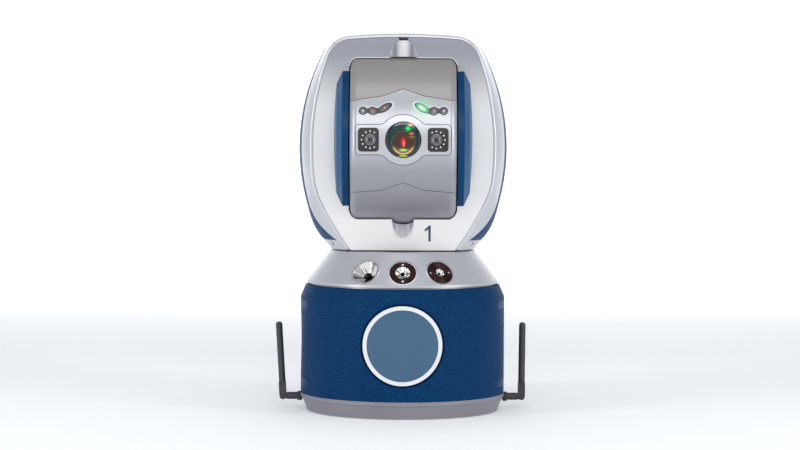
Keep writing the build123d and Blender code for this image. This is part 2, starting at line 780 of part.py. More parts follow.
# Yoke frame: one casting with the drum's cavity, seats for the covers and the bearing bores.
web_outer = cavity_half_width + 24.5
cable_bore = 12.0
arm_room = {"inner": 20.0, "outer": 32.0, "low": 27.0, "high": 50.0}
with BuildPart() as yoke_frame:
    add(rounded_envelope.part)
    add(cap_space.part, mode=Mode.SUBTRACT)
    for front in (-1, 1):
        add(cover_blank(cover_margin - seam, front), mode=Mode.SUBTRACT)
    add(drum_body(head_gap), mode=Mode.SUBTRACT)
    add(lower_scoop.part, mode=Mode.SUBTRACT)
    for side in (-1, 1):
        add(disc_body(side, seam, 0.0), mode=Mode.SUBTRACT)
        add(side_space(side, 0.6) - panel_core, mode=Mode.SUBTRACT)
        with BuildSketch(zenith_plane.offset(side * web_outer)):
            Circle(arm_pocket_radius)
        extrude(amount=side * arm_width, mode=Mode.SUBTRACT)
        for level in (-1, 1):
            spans = sorted((level * arm_room["low"], level * arm_room["high"]))
            reach = sorted((side * (cavity_half_width + arm_room["inner"]),
                            side * (cavity_half_width + arm_room["outer"])))
            add(block(reach, (-yoke_half_depth + 14.0, yoke_half_depth + 1),
                      (zenith_height + spans[0], zenith_height + spans[1])), mode=Mode.SUBTRACT)
    with BuildSketch(zenith_plane):
        Circle(zenith_bearing_outer + fit)
    extrude(amount=web_outer + 1.0, both=True, mode=Mode.SUBTRACT)
    for x_sign, y_sign in corners:
        with BuildSketch(corner_plane(x_sign, y_sign)):
            Circle(corner_screw_radius + fit)
        extrude(amount=corner_well + 6.0, mode=Mode.SUBTRACT)
    with BuildSketch(Plane.XY.offset(yoke_bottom - 1.0)):
        Circle(cable_bore)
    extrude(amount=yoke_floor + head_gap + 5.0, mode=Mode.SUBTRACT)
write(yoke_frame, "yoke_frame")

with BuildPart() as top_cap:
    add(rounded_envelope.part)
    add(block((-yoke_half_width, yoke_half_width), (-yoke_half_depth - 1, yoke_half_depth + 1),
              (cap_seam_height + seam, yoke_top + 5)), mode=Mode.INTERSECT)
    add(yoke_envelope(cap_wall), mode=Mode.SUBTRACT)
    for front in (-1, 1):
        add(cover_blank(cover_margin - seam, front), mode=Mode.SUBTRACT)
write(top_cap, "top_cap")

with BuildPart() as front_cover:
    add(cover_blank(cover_margin, 1))
    add(drum_body(head_gap), mode=Mode.SUBTRACT)
    for side in (-1, 1):
        add(disc_body(side, seam, 0.0), mode=Mode.SUBTRACT)
    add(lower_scoop.part, mode=Mode.SUBTRACT)
    add(upper_scoop.part, mode=Mode.SUBTRACT)
write(front_cover, "front_cover")

# Rear cover, held by six countersunk screws.
screw_head = 3.6
rear_screw_places = []
for share, level in ((0.55, zenith_height + 84.0), (0.77, zenith_height), (0.40, zenith_height - 90.0)):
    level_band = block((-yoke_half_width, yoke_half_width), (0, yoke_half_depth), (level - 0.5, level + 0.5))
    cover_edge = (cover_blank(cover_margin, -1) & level_band).bounding_box().max.X
    reach = cavity_half_width + share * (cover_edge - cavity_half_width)
    rear_screw_places += [(-reach, level), (reach, level)]
with BuildPart() as rear_cover:
    add(cover_blank(cover_margin, -1))
    add(drum_body(head_gap), mode=Mode.SUBTRACT)
    for side in (-1, 1):
        add(disc_body(side, seam, 0.0), mode=Mode.SUBTRACT)
    for x, z in rear_screw_places:
        with BuildSketch(Plane.XZ.offset(-yoke_half_depth)):
            with Locations((x, z)):
                Circle(screw_head + fit)
        extrude(amount=cover_thickness, mode=Mode.SUBTRACT)
write(rear_cover, "rear_cover")

with BuildPart() as cover_screws:
    for x, z in rear_screw_places:
        with BuildSketch(Plane.XZ.offset(-yoke_half_depth + 0.4)):
            with Locations((x, z)):
                Circle(screw_head)
                RegularPolygon(1.6, 6, mode=Mode.SUBTRACT)
        extrude(amount=cover_thickness - 0.5)
    for x_sign, y_sign in corners:
        with BuildSketch(corner_plane(x_sign, y_sign)):
            Circle(corner_screw_radius)
            RegularPolygon(1.1, 6, mode=Mode.SUBTRACT)
        extrude(amount=2.0)
write(cover_screws, "cover_screws")

for side, side_name in ((-1, "left"), (1, "right")):
    with BuildPart() as grip_panel:
        add(rounded_envelope.part)
        add(side_space(side, 0.0), mode=Mode.INTERSECT)
        add(yoke_envelope(panel_thickness), mode=Mode.SUBTRACT)
    write(grip_panel, f"grip_panel_{side_name}")
    with BuildPart() as trunnion_cover:
        add(disc_body(side, 0.0, trunnion_radius + 2.0))
    write(trunnion_cover, f"trunnion_cover_{side_name}")

# Hollow azimuth shaft with the flange that carries the yoke, its rotor and its encoder disc.
flange_radius = collar_opening - 3.0
flange_bottom = yoke_bottom - 11.5
shaft_bottom = lower_bearing - bearing_width / 2 - 3.0
with BuildPart() as azimuth_shaft:
    add(tube(shaft_radius, shaft_bore, shaft_bottom, flange_bottom + 1.0))
    add(tube(flange_radius, shaft_bore, flange_bottom, yoke_bottom))
write(azimuth_shaft, "azimuth_shaft")

with BuildPart() as azimuth_rotor:
    add(tube(rotor_outer, shaft_radius + fit, motor_level - motor_half_length,
             motor_level + motor_half_length))
write(azimuth_rotor, "azimuth_rotor")

with BuildPart() as azimuth_encoder_disc:
    add(tube(tower_radius + 3.0, shaft_radius + fit, encoder_bottom, flange_bottom))
write(azimuth_encoder_disc, "azimuth_encoder_disc")

# Zenith bearings in the two webs; motor in the right arm, angle encoder in the left.
zenith_bearing_centre = cavity_half_width + 10.0
with BuildPart() as zenith_bearings:
    for side in (-1, 1):
        add(ball_bearing(trunnion_radius + fit, zenith_bearing_outer, zenith_bearing_width,
                         zenith_plane.offset(side * zenith_bearing_centre)))
write(zenith_bearings, "zenith_bearings")

motor_inner = web_outer + 1.0
motor_outer = web_outer + 17.0
zenith_rotor_radius = trunnion_radius + 5.0
with BuildPart() as zenith_stator:
    add(tube(arm_pocket_radius - fit, zenith_rotor_radius + air_gap, motor_inner, motor_outer, zenith_plane))
write(zenith_stator, "zenith_stator")

disc_near = web_outer + 5.0
disc_far = web_outer + 7.0
with BuildPart() as zenith_read_heads:
    add(tube(arm_pocket_radius - fit, trunnion_radius + 2.0, -disc_far - 9.0, -disc_far - 7.0, zenith_plane))
    with BuildSketch(zenith_plane.offset(-disc_far - 7.5)):
        with PolarLocations(arm_pocket_radius - 5.0, 2):
            Rectangle(6.0, 8.0)
    extrude(amount=7.5 - read_head_gap)
write(zenith_read_heads, "zenith_read_heads")

# Interface board in the left arm's upper room.
room_wall = cavity_half_width + arm_room["inner"]
with BuildPart() as yoke_board:
    add(block((-room_wall - 2.0, -room_wall - 0.3), (-30.0, 40.0),
              (zenith_height + arm_room["low"] + 1.0, zenith_height + arm_room["high"] - 1.0)))
write(yoke_board, "yoke_board")

# ================================================================ HEAD
with BuildPart() as drum_shell:
    add(drum_body(0.0))
    add(tube(head_inner, 0, -head_half_width + head_wall, head_half_width - head_wall, zenith_plane),
        mode=Mode.SUBTRACT)
    add(tube(head_radius - 12.0, 0, -head_half_width - 1, head_half_width + 1, zenith_plane),
        mode=Mode.SUBTRACT)

# The front shell ends above and below in seams that peak at the middle.
upper_seam = {"edge": 40.3, "bend": 46.6, "peak": 54.3}
lower_seam = {"edge": -57.3, "bend": -54.0, "peak": -45.9}
seam_bend = 22.6
with BuildSketch() as front_outline:
    with BuildLine():
        far = head_half_width + 5.0
        Polyline(
            (-far, upper_seam["edge"]), (-seam_bend, upper_seam["bend"]), (0, upper_seam["peak"]),
            (seam_bend, upper_seam["bend"]), (far, upper_seam["edge"]), (far, lower_seam["edge"]),
            (seam_bend, lower_seam["bend"]), (0, lower_seam["peak"]), (-seam_bend, lower_seam["bend"]),
            (-far, lower_seam["edge"]), close=True)
    make_face()


def front_prism(growth):
    """The front outline as a block that reaches from the drum's axis out past its front."""
    with BuildPart() as prism:
        with BuildSketch(lens_plane):
            add(front_outline.sketch)
            if growth != 0:
                offset(amount=growth, kind=Kind.INTERSECTION)
        extrude(amount=head_radius + 10.0)
    return prism.part


def head_patch(outline, growth, inner, outer):
    """The part of the drum's wall that lies behind an outline on its front."""
    with BuildPart() as patch:
        with BuildSketch(lens_plane):
            add(outline)
            if growth != 0:
                offset(amount=growth)
        extrude(amount=head_radius + 10.0)
        add(tube(outer, inner, -head_half_width, head_half_width, zenith_plane), mode=Mode.INTERSECT)
    return patch.part


# Lens plate: a bar across the front with a round swelling about the lens.
plate_half_length = 50.8
plate_half_height = 16.1
plate_bulge = 26.8
plate_corner = 3.9
plate_blend = 10.0
with BuildSketch() as lens_plate_outline:
    RectangleRounded(2 * plate_half_length, 2 * plate_half_height, plate_corner)
    Circle(plate_bulge)
    fillet(lens_plate_outline.vertices().filter_by(lambda v: abs(v.X) < plate_bulge), plate_blend)

bezel_offset = 36.9
bezel_width = 22.2
bezel_height = 25.4
with BuildSketch() as bezel_outline:
    with Locations((-bezel_offset, 0), (bezel_offset, 0)):
        RectangleRounded(bezel_width, bezel_height, 4.0)

window_spots = ((42.6, 30.7), (32.4, 30.6))
window_spot_radius = 4.2
petal_place = (19.0, 33.8)
petal_tilt = 30.0


def window_outline(side):
    """Three indicator windows on one side: two round and one long, tilted up to the middle."""
    with BuildSketch() as windows:
        for x, y in window_spots:
            with Locations((side * x, y)):
                Circle(window_spot_radius)
        with Locations(Location((side * petal_place[0], petal_place[1], 0), (0, 0, -side * petal_tilt))):
            SlotOverall(15.9, 7.4)
    return windows.sketch


with BuildPart() as head_front_shell:
    add(drum_shell.part)
    add(front_prism(-seam / 2), mode=Mode.INTERSECT)
    add(head_patch(lens_plate_outline.sketch, 0.3, head_inner - 3, head_radius + 3), mode=Mode.SUBTRACT)
    for side in (-1, 1):
        add(head_patch(window_outline(side), 0.12, head_inner - 3, head_radius + 3), mode=Mode.SUBTRACT)
write(head_front_shell, "head_front_shell")

for name, low, high in (("head_upper_shell", zenith_height + seam / 2, zenith_height + head_radius + 1),
                        ("head_lower_shell", zenith_height - head_radius - 1, zenith_height - seam / 2)):
    with BuildPart() as rear_half:
        add(drum_shell.part)
        add(front_prism(seam / 2), mode=Mode.SUBTRACT)
        add(block((-head_half_width - 1, head_half_width + 1), (-head_radius - 1, head_radius + 1),
                  (low, high)),
            mode=Mode.INTERSECT)
    write(rear_half, name)

side_plate_radius = head_radius - 12.2
with BuildPart() as head_side_plates:
    for side in (-1, 1):
        near, far = sorted((side * (head_half_width - 3.5), side * head_half_width))
        add(tube(side_plate_radius, trunnion_radius + fit, near, far, zenith_plane))
write(head_side_plates, "head_side_plates")

# Lens plate with a flange behind the shell, holes for the lens and the two camera bezels.
with BuildPart() as lens_plate:
    add(head_patch(lens_plate_outline.sketch, 0.0, head_inner - fit, head_radius))
    add(head_patch(lens_plate_outline.sketch, 1.9, head_inner - 1.5, head_inner - fit))
    with BuildSketch(lens_plane):
        Circle(lens_radius)
        add(bezel_outline.sketch)
    extrude(amount=head_radius + 10.0, mode=Mode.SUBTRACT)
write(lens_plate, "lens_plate")

camera_column = 35.1
camera_led_ring = 9.0
camera_led_radius = 0.8
camera_led_count = 9
with BuildSketch() as camera_led_outline:
    for side in (-1, 1):
        with Locations((side * camera_column, 0)):
            with PolarLocations(camera_led_ring, camera_led_count, start_angle=60 if side < 0 else -120,
                                angular_range=240, endpoint=True):
                Circle(camera_led_radius)

with BuildPart() as camera_bezels:
    add(head_patch(bezel_outline.sketch, -0.1, head_inner, head_radius - 0.6))
    with BuildSketch(lens_plane):
        with Locations((-camera_column, 0), (camera_column, 0)):
            Circle(camera_radius + fit)
    extrude(amount=head_radius + 10.0, mode=Mode.SUBTRACT)
    with BuildSketch(lens_plane.offset(head_radius - 3.0)):
        add(camera_led_outline.sketch)
    extrude(amount=10.0, mode=Mode.SUBTRACT)
write(camera_bezels, "camera_bezels")

camera_length = 24.0
with BuildPart() as camera_modules:
    with BuildSketch(lens_plane.offset(head_radius - 1.2 - camera_length)):
        with Locations((-camera_column, 0), (camera_column, 0)):
            Circle(camera_radius)
    extrude(amount=camera_length)
    with BuildSketch(lens_plane.offset(head_radius - 1.2)):
        with Locations((-camera_column, 0), (camera_column, 0)):
            Circle(camera_radius - 1.6)
    extrude(amount=-2.4, taper=20, mode=Mode.SUBTRACT)
write(camera_modules, "camera_modules")

with BuildPart() as indicator_windows:
    for side in (-1, 1):
        add(head_patch(window_outline(side), 0.0, head_inner, head_radius - 0.4))
write(indicator_windows, "indicator_windows")

# Lens barrel on the optics block, which stands on the bench between the trunnions.
block_front = 60.0
barrel_wall = 1.9
with BuildPart() as lens_barrel:
    with BuildSketch(lens_plane.offset(block_front)):
        Circle(lens_radius - 2 * fit)
        Circle(lens_radius - barrel_wall, mode=Mode.SUBTRACT)
    extrude(amount=head_radius - 2.2 - block_front)
write(lens_barrel, "lens_barrel")

glass_front = head_radius - 8.0
with BuildPart() as objective_lens:
    with BuildSketch(lens_plane.offset(glass_front - 4.0)):
        Circle(lens_radius - barrel_wall - fit)
    extrude(amount=4.0)
write(objective_lens, "objective_lens")

bench_top = zenith_height - 27.2
bench_half_width = head_half_width - head_wall - 3.7
bench_thickness = 9.0
with BuildPart() as optical_bench:
    add(block((-bench_half_width, bench_half_width), (-45.0, 45.0), (bench_top - bench_thickness, bench_top)))
    for side in (-1, 1):
        reach = sorted((side * (bench_half_width - 4.0), side * bench_half_width))
        add(block(reach, (-24.0, 24.0), (bench_top - bench_thickness, zenith_height + 24.0)))
write(optical_bench, "optical_bench")

with BuildPart() as optics_block:
    add(block((-24.0, 24.0), (-block_front, 28.0), (bench_top, lens_height + 26.0)))
    fillet(optics_block.edges().filter_by(Axis.Y), 3.0)
write(optics_block, "optics_block")

with BuildPart() as laser_module:
    add(block((-34.0, 34.0), (29.0, 44.0), (bench_top, bench_top + 18.0)))
write(laser_module, "laser_module")

trunnion_flange = 22.0
flange_face = head_half_width - 3.5
with BuildPart() as trunnion_shafts:
    for side, reach in ((-1, disc_far + 2.0), (1, motor_outer + 2.0)):
        near, far = sorted((side * (flange_face - 4.0), side * reach))
        add(tube(trunnion_radius, 4.0, near, far, zenith_plane))
        near, far = sorted((side * (flange_face - 4.0), side * flange_face))
        add(tube(trunnion_flange, 4.0, near, far, zenith_plane))
write(trunnion_shafts, "trunnion_shafts")

with BuildPart() as zenith_rotor:
    add(tube(zenith_rotor_radius, trunnion_radius + fit, motor_inner, motor_outer, zenith_plane))
write(zenith_rotor, "zenith_rotor")

with BuildPart() as zenith_encoder_disc:
    add(tube(arm_pocket_radius - 2.0, trunnion_radius + fit, -disc_far, -disc_near, zenith_plane))
write(zenith_encoder_disc, "zenith_encoder_disc")

# ================================================================ ANTENNAS
jack_tip = base_radius + 2.4
jack_plane = Plane(origin=(0, 0, antenna_height), x_dir=(0, 1, 0), z_dir=(1, 0, 0))
with BuildPart() as antenna_jacks:
    for side in (-1, 1):
        near, far = sorted((side * (foot_wall_inner - 5.0), side * jack_tip))
        add(tube(jack_radius, 0, near, far, jack_plane))
        near, far = sorted((side * (foot_wall_inner - 5.0), side * (foot_wall_inner - 0.3)))
        add(tube(jack_radius + 2.0, 0, near, far, jack_plane))
write(antenna_jacks, "antenna_jacks")

nut_start = base_radius - 1.6
nut_length = 5.3
barrel_start = nut_start + nut_length
barrel_end = barrel_start + barrel_length
pivot_reach = barrel_end + 4.8
tongue_half = 1.5
tongue_radius = 3.3
knuckle_radius = 3.9
knuckle_height = 15.4
slot_radius = knuckle_radius + 0.3
antenna_lean = {"left": 3.3, "right": 0.6}
for side, side_name in ((-1, "left"), (1, "right")):
    with BuildPart() as antenna_elbow:
        near, far = sorted((side * nut_start, side * barrel_start))
        add(tube(nut_radius, 0, near, far, jack_plane))
        near, far = sorted((side * barrel_start, side * barrel_end))
        add(tube(barrel_radius, 0, near, far, jack_plane))
        near, far = sorted((side * nut_start, side * (jack_tip + 0.4)))
        add(tube(jack_radius + fit, 0, near, far, jack_plane), mode=Mode.SUBTRACT)
        with BuildSketch(Plane.XZ.offset(-tongue_half)):
            with Locations((side * pivot_reach, antenna_height)):
                Circle(tongue_radius)
            with Locations((side * (pivot_reach + barrel_end - 1.0) / 2, antenna_height)):
                Rectangle(pivot_reach - barrel_end + 1.0, 2 * tongue_radius)
            with Locations((side * pivot_reach, antenna_height)):
                Circle(pin_radius + fit, mode=Mode.SUBTRACT)
        extrude(amount=2 * tongue_half)
    write(antenna_elbow, f"antenna_elbow_{side_name}")

    lean = math.radians(antenna_lean[side_name])
    blade_plane = Plane(origin=(side * pivot_reach, 0, antenna_height),
                        x_dir=(side * math.cos(lean), 0, -math.sin(lean)),
                        z_dir=(side * math.sin(lean), 0, math.cos(lean)))
    blade_front = Plane(origin=blade_plane.origin, x_dir=blade_plane.x_dir, z_dir=blade_plane.y_dir)
    with BuildPart() as antenna_blade:
        with BuildSketch(blade_front):
            Circle(knuckle_radius)
            with Locations((0, -knuckle_height / 2)):
                Rectangle(2 * knuckle_radius, knuckle_height)
        extrude(amount=knuckle_radius, both=True)
        with BuildSketch(blade_plane.offset(knuckle_height - 1.0)):
            Circle(blade_radius)
        extrude(amount=blade_length - knuckle_height + 1.0)
        fillet(antenna_blade.edges().filter_by(GeomType.CIRCLE).sort_by(Axis.Z)[-1], blade_radius - 0.4)
        # slot for the elbow's tongue, open to the jack's side and below, so that the blade folds out
        with BuildSketch(blade_front):
            Circle(slot_radius)
            with Locations((-knuckle_radius, 0)):
                Rectangle(2 * knuckle_radius, 2 * slot_radius)
            with Locations((0, knuckle_radius)):
                Rectangle(2 * slot_radius, 2 * knuckle_radius)
        extrude(amount=tongue_half + 0.2, both=True, mode=Mode.SUBTRACT)
        with BuildSketch(blade_front):
            Circle(pin_radius)
        extrude(amount=knuckle_radius, both=True)
    write(antenna_blade, f"antenna_blade_{side_name}")
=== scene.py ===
import math
import bmesh
import bpy
from mathutils import Matrix, Vector
from mathutils.bvhtree import BVHTree


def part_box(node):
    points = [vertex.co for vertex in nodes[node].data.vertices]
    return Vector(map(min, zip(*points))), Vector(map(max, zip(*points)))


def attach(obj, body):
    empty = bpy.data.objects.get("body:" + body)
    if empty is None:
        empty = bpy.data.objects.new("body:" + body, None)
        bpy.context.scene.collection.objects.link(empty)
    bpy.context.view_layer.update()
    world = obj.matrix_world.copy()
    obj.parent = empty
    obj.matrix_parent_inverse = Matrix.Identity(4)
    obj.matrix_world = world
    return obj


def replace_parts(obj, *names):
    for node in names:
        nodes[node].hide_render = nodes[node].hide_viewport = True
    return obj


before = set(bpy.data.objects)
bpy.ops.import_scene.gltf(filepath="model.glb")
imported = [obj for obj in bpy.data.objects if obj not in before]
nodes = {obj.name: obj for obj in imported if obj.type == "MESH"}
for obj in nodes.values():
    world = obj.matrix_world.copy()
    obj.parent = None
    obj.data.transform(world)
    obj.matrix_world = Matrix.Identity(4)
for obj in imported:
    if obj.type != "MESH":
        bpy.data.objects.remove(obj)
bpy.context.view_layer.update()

# ---------------------------------------------------------------- camera and studio
# The instrument is seen from straight in front, level with the lens, against white.
# A wide softbox in front, a strip at each side and a weak overhead give the long soft highlights.
camera_data = bpy.data.cameras.new("camera")
camera_data.sensor_width = 36.0
camera_data.lens = 106.3
camera = bpy.data.objects.new("camera", camera_data)
bpy.context.scene.collection.objects.link(camera)
eye = Vector((-0.0031, -2.6, 0.307))
aim = Vector((-0.0031, 0.0, 0.2028))
camera.location = eye
facing = (aim - eye).to_track_quat("-Z", "Y").to_matrix()
camera_roll = math.radians(0.22)
camera.rotation_euler = (facing @ Matrix.Rotation(camera_roll, 3, "Z")).to_euler()
bpy.context.scene.camera = camera
bpy.context.scene.view_settings.view_transform = "Standard"

world = bpy.data.worlds.new("studio")
world.use_nodes = True
world.node_tree.nodes["Background"].inputs["Color"].default_value = (0.94, 0.96, 1.0, 1)
world.node_tree.nodes["Background"].inputs["Strength"].default_value = 0.5
bpy.context.scene.world = world


def soft_light(name, place, wide, high, power, target=(0, 0, 0.25)):
    """A rectangular area light turned to face a point on the object."""
    data = bpy.data.lights.new(name, "AREA")
    data.shape = "RECTANGLE"
    data.size = wide
    data.size_y = high
    data.energy = power
    lamp = bpy.data.objects.new(name, data)
    lamp.location = place
    lamp.rotation_euler = (Vector(target) - Vector(place)).to_track_quat("-Z", "Y").to_euler()
    bpy.context.scene.collection.objects.link(lamp)


soft_light("front_softbox", (0.1, -2.4, 1.35), 1.5, 0.7, 16.0, (0, 0, 0.3))
soft_light("left_strip", (-1.5, -1.0, 0.5), 0.35, 1.3, 11.0)
soft_light("right_strip", (1.5, -1.0, 0.5), 0.35, 1.3, 11.0)
soft_light("overhead", (0.0, -0.9, 1.9), 1.2, 0.5, 2.5)
soft_light("floor_wash", (0.0, 2.6, 1.6), 3.5, 1.6, 45.0, (0, 3.6, 0.4))


class Value:
    """A number on a shader or geometry socket, so that a pattern reads as a formula."""

    def __init__(self, web, socket):
        self.web = web
        self.socket = socket

    def math(self, operation, *terms):
        return self.web.node("ShaderNodeMath", {"operation": operation}, dict(enumerate(terms)))

    def __add__(self, other):
        return self.math("ADD", self, other)

    __radd__ = __add__

    def __sub__(self, other):
        return self.math("SUBTRACT", self, other)

    def __rsub__(self, other):
        return self.math("SUBTRACT", other, self)

    def __mul__(self, other):
        return self.math("MULTIPLY", self, other)

    __rmul__ = __mul__

    def __truediv__(self, other):
        return self.math("DIVIDE", self, other)

    def __gt__(self, edge):
        return self.math("GREATER_THAN", self, edge)

    def __lt__(self, edge):
        return self.math("LESS_THAN", self, edge)

    def sine(self):
        return self.math("SINE", self)

    def root(self):
        return self.math("SQRT", self)

    def size(self):
        return self.math("ABSOLUTE", self)

    def soft(self, low, high):
        """Nought up to low, one from high on, smooth between."""
        settings = {"interpolation_type": "SMOOTHSTEP"}
        return self.web.node("ShaderNodeMapRange", settings, {0: self, 1: low, 2: high})


class Web:
    """Nodes being put together in one tree; its one method takes a type, settings and socket values."""

    def __init__(self, tree):
        self.tree = tree

    def node(self, kind, settings=None, values=None, output=0):
        made = self.tree.nodes.new(kind)
        for key, value in (settings or {}).items():
            if key == "stops":
                ramp = made.color_ramp
                while len(ramp.elements) < len(value):
                    ramp.elements.new(0.5)
                for element, (place, colour) in zip(ramp.elements, value):
                    element.position = place
                    element.color = (*colour, 1.0)
            else:
                setattr(made, key, value)
        for key, value in (values or {}).items():
            self.plug(made.inputs[key], value)
        return Value(self, made.outputs[output])

    def plug(self, socket, value):
        if isinstance(value, Value):
            self.tree.links.new(value.socket, socket)
        elif socket.type == "RGBA":
            socket.default_value = (*value, 1.0)
        else:
            socket.default_value = value


class Finish(Web):
    """A material: one Principled shader and what feeds it."""

    def __init__(self, name, **constants):
        self.material = bpy.data.materials.new(name)
        self.material.use_nodes = True
        super().__init__(self.material.node_tree)
        self.shader = self.tree.nodes["Principled BSDF"]
        for socket, value in constants.items():
            self.feed(socket.replace("_", " "), value)

    def feed(self, socket, value):
        self.plug(self.shader.inputs[socket], value)

    def place(self):
        """Where a point of the surface is, in metres."""
        return self.node("ShaderNodeTexCoord", output="Object")

    def axis(self, name):
        return self.node("ShaderNodeSeparateXYZ", values={0: self.place()}, output="XYZ".index(name))

    def noise(self, scale, detail=2.0, roughness=0.5):
        return self.node("ShaderNodeTexNoise", values={
            "Vector": self.place(), "Scale": scale, "Detail": detail, "Roughness": roughness})

    def blend(self, share, first, second):
        """A colour between two others."""
        return self.node("ShaderNodeMix", {"data_type": "RGBA"}, {0: share, 6: first, 7: second}, output=2)

    def ramp(self, share, *stops):
        """A colour that runs through stops."""
        return self.node("ShaderNodeValToRGB", {"stops": stops}, {0: share})

    def span(self, share, low, high):
        """A number that runs from low to high with share."""
        return share * (high - low) + low

    def bump(self, height, distance):
        self.feed("Normal", self.node("ShaderNodeBump", values={"Height": height, "Distance": distance}))

    def coloured(self, share, first, second):
        """Base colour that runs from one colour to another with share."""
        self.feed("Base Color", self.blend(share, first, second))

    def textured(self, grain, low, high, height=None):
        """Roughness that runs with a grain, and a bump of the same grain where a height is given."""
        self.feed("Roughness", self.span(grain, low, high))
        if height:
            self.bump(grain, height)


def across(first, second):
    """How far out a point is, from its distances along two axes."""
    return (first * first + second * second).root()


def shade(colour, by):
    """The same colour, lighter or darker."""
    return tuple(min(1.0, c * by) for c in colour)


def mesh_of(work, name):
    """The mesh that a bmesh has made."""
    mesh = bpy.data.meshes.new(name)
    work.to_mesh(mesh)
    work.free()
    return mesh


floor_finish = Finish("white_sweep", Roughness=0.85, Emission_Color=(0.97, 0.985, 1.0), Emission_Strength=0.11)
floor_finish.coloured(floor_finish.noise(1.5), (0.93, 0.95, 0.96), (0.96, 0.97, 0.98))
sweep_front, sweep_bend, bend_radius, sweep_top, sweep_half = -3.4, 2.6, 1.0, 4.5, 6.0
sweep_rows = [(sweep_front, 0.0), (sweep_bend, 0.0)]
for degrees in range(9, 91, 9):
    turn = math.radians(degrees)
    sweep_rows.append((sweep_bend + bend_radius * math.sin(turn), bend_radius * (1.0 - math.cos(turn))))
sweep_rows.append((sweep_bend + bend_radius, sweep_top))
sweep = bmesh.new()
edges = [[sweep.verts.new((x, y, z)) for x in (-sweep_half, sweep_half)] for y, z in sweep_rows]
for near, far in zip(edges, edges[1:]):
    sweep.faces.new((near[0], near[1], far[1], far[0])).smooth = True
floor_mesh = mesh_of(sweep, "floor")
floor_mesh.materials.append(floor_finish.material)
floor = bpy.data.objects.new("floor", floor_mesh)
bpy.context.scene.collection.objects.link(floor)


def middle(name):
    """The middle of a CAD node's box."""
    return [(low + high) / 2 for low, high in zip(*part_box(name))]


def dress(finish, *names):
    """Give CAD nodes a finish in their own slots."""
    for name in names:
        slots = nodes[name].data.materials
        slots.clear()
        slots.append(finish.material)


# ---------------------------------------------------------------- foot ring and stand thread
# The ring the instrument stands on: an aluminium casting, shot-blasted and sprayed matt grey.
# A turned steel thread ring and six socket-head screws are let into it from below.
foot_paint = Finish("foot_paint", Metallic=0.25)
foot_grain = foot_paint.noise(1500.0, 3.0, 0.6)
foot_drift = foot_paint.noise(11.0, 3.0)
foot_rub = (foot_paint.axis("Z") < 0.0012) * 0.5
foot_tone = foot_paint.blend(foot_drift * 0.5 + foot_grain * 0.5, (0.18, 0.174, 0.2), (0.3, 0.29, 0.325))
foot_paint.coloured(foot_rub, foot_tone, (0.34, 0.33, 0.34))
foot_paint.textured(foot_grain, 0.42, 0.62, 0.00012)
dress(foot_paint, "base_ring")

turned_steel = Finish("turned_steel", Metallic=1.0)
steel_marks = turned_steel.noise(70.0, 5.0, 0.65)
turned_steel.coloured(steel_marks, (0.42, 0.42, 0.43), (0.66, 0.66, 0.67))
turned_steel.textured(steel_marks, 0.2, 0.42)
turned_steel.bump(turned_steel.noise(1800.0, 2.0), 0.00003)
dress(turned_steel, "stand_thread_ring", "foot_screws", "azimuth_bearings")

# ---------------------------------------------------------------- base shell and side pads
# A rolled and welded aluminium drum in textured powder coat, dark blue with light flecks in the film.
# The moulded pads at the sides are let in flush in the same blue, a little smoother.
shell_paint = Finish("speckled_blue", Specular_IOR_Level=0.05)
shell_lumps = shell_paint.noise(850.0, 3.0, 0.65)
shell_drift = shell_paint.noise(16.0, 4.0, 0.6)
shell_flecks = shell_paint.noise(1150.0, 1.0, 0.3).soft(0.58, 0.72)
shell_mottle = shell_drift * 0.5 + shell_lumps * 0.5
shell_tone = shell_paint.blend(shell_mottle, (0.0002, 0.022, 0.076), (0.0008, 0.037, 0.122))
fleck_tone = shell_paint.blend(shell_flecks * 0.4, shell_tone, (0.03, 0.14, 0.33))
# Painted shade: a darker band of the shell round the badge ring, in front, where the pocket wall casts shadow.
pocket_z = shell_paint.axis("Z") - middle("badge_ring")[2]
pocket_x = shell_paint.axis("X")
pocket_radius = across(pocket_x, pocket_z)
pocket_shade_mask = (1 - pocket_radius.soft(0.0444, 0.0454)) * (shell_paint.axis("Y") < 0)
shell_paint.coloured(pocket_shade_mask * 0.7, fleck_tone, (0.0, 0.008, 0.045))
shell_paint.textured(shell_lumps, 0.36, 0.6, 0.00022)
dress(shell_paint, "base_shell")


def grained(name, grain, first, second, rough, height=None, tone=None, **constants):
    """A finish whose colour, roughness and bump follow one noise, given as its scale and detail.

    The colour follows a second noise where tone is given.
    """
    finish = Finish(name, **constants)
    marks = finish.noise(*grain)
    finish.coloured(finish.noise(*tone) if tone else marks, first, second)
    finish.textured(marks, *rough, height)
    return finish


pad_plastic = grained("moulded_blue", (2200.0, 2.0), (0.001, 0.03, 0.11), (0.002, 0.042, 0.145), (0.38, 0.52),
                      0.00005, (30.0, 3.0), Specular_IOR_Level=0.2)
dress(pad_plastic, "side_pads")

# ---------------------------------------------------------------- badge
# A plain white moulded ring round a lighter blue disc, neither with any mark on it.
# Both are pressed into a shallow pocket in the shell.
dress(grained("badge_white", (40.0, 4.0), (0.66, 0.68, 0.7), (0.75, 0.76, 0.77), (0.22, 0.36), Coat_Weight=0.4),
      "badge_ring")
badge_blue = grained("badge_blue", (1500.0, 3.0, 0.6), (0.026, 0.085, 0.165), (0.042, 0.118, 0.22), (0.28, 0.42),
                     0.00005, Metallic=0.15, Coat_Weight=0.3, Coat_Roughness=0.2)
dress(badge_blue, "badge_disc")

# ---------------------------------------------------------------- chassis and works of the base
# Inside the shell: a cast chassis with its bearing tower, the motor, the slip ring and the electronics.
# None of it shows with the covers on; castings are left raw and the coils are varnished.
cast_metal = grained("raw_casting", (420.0, 4.0, 0.7), (0.36, 0.37, 0.38), (0.56, 0.57, 0.58), (0.42, 0.66),
                     0.00015, Metallic=0.9)
dress(cast_metal, "base_chassis", "optical_bench", "optics_block")

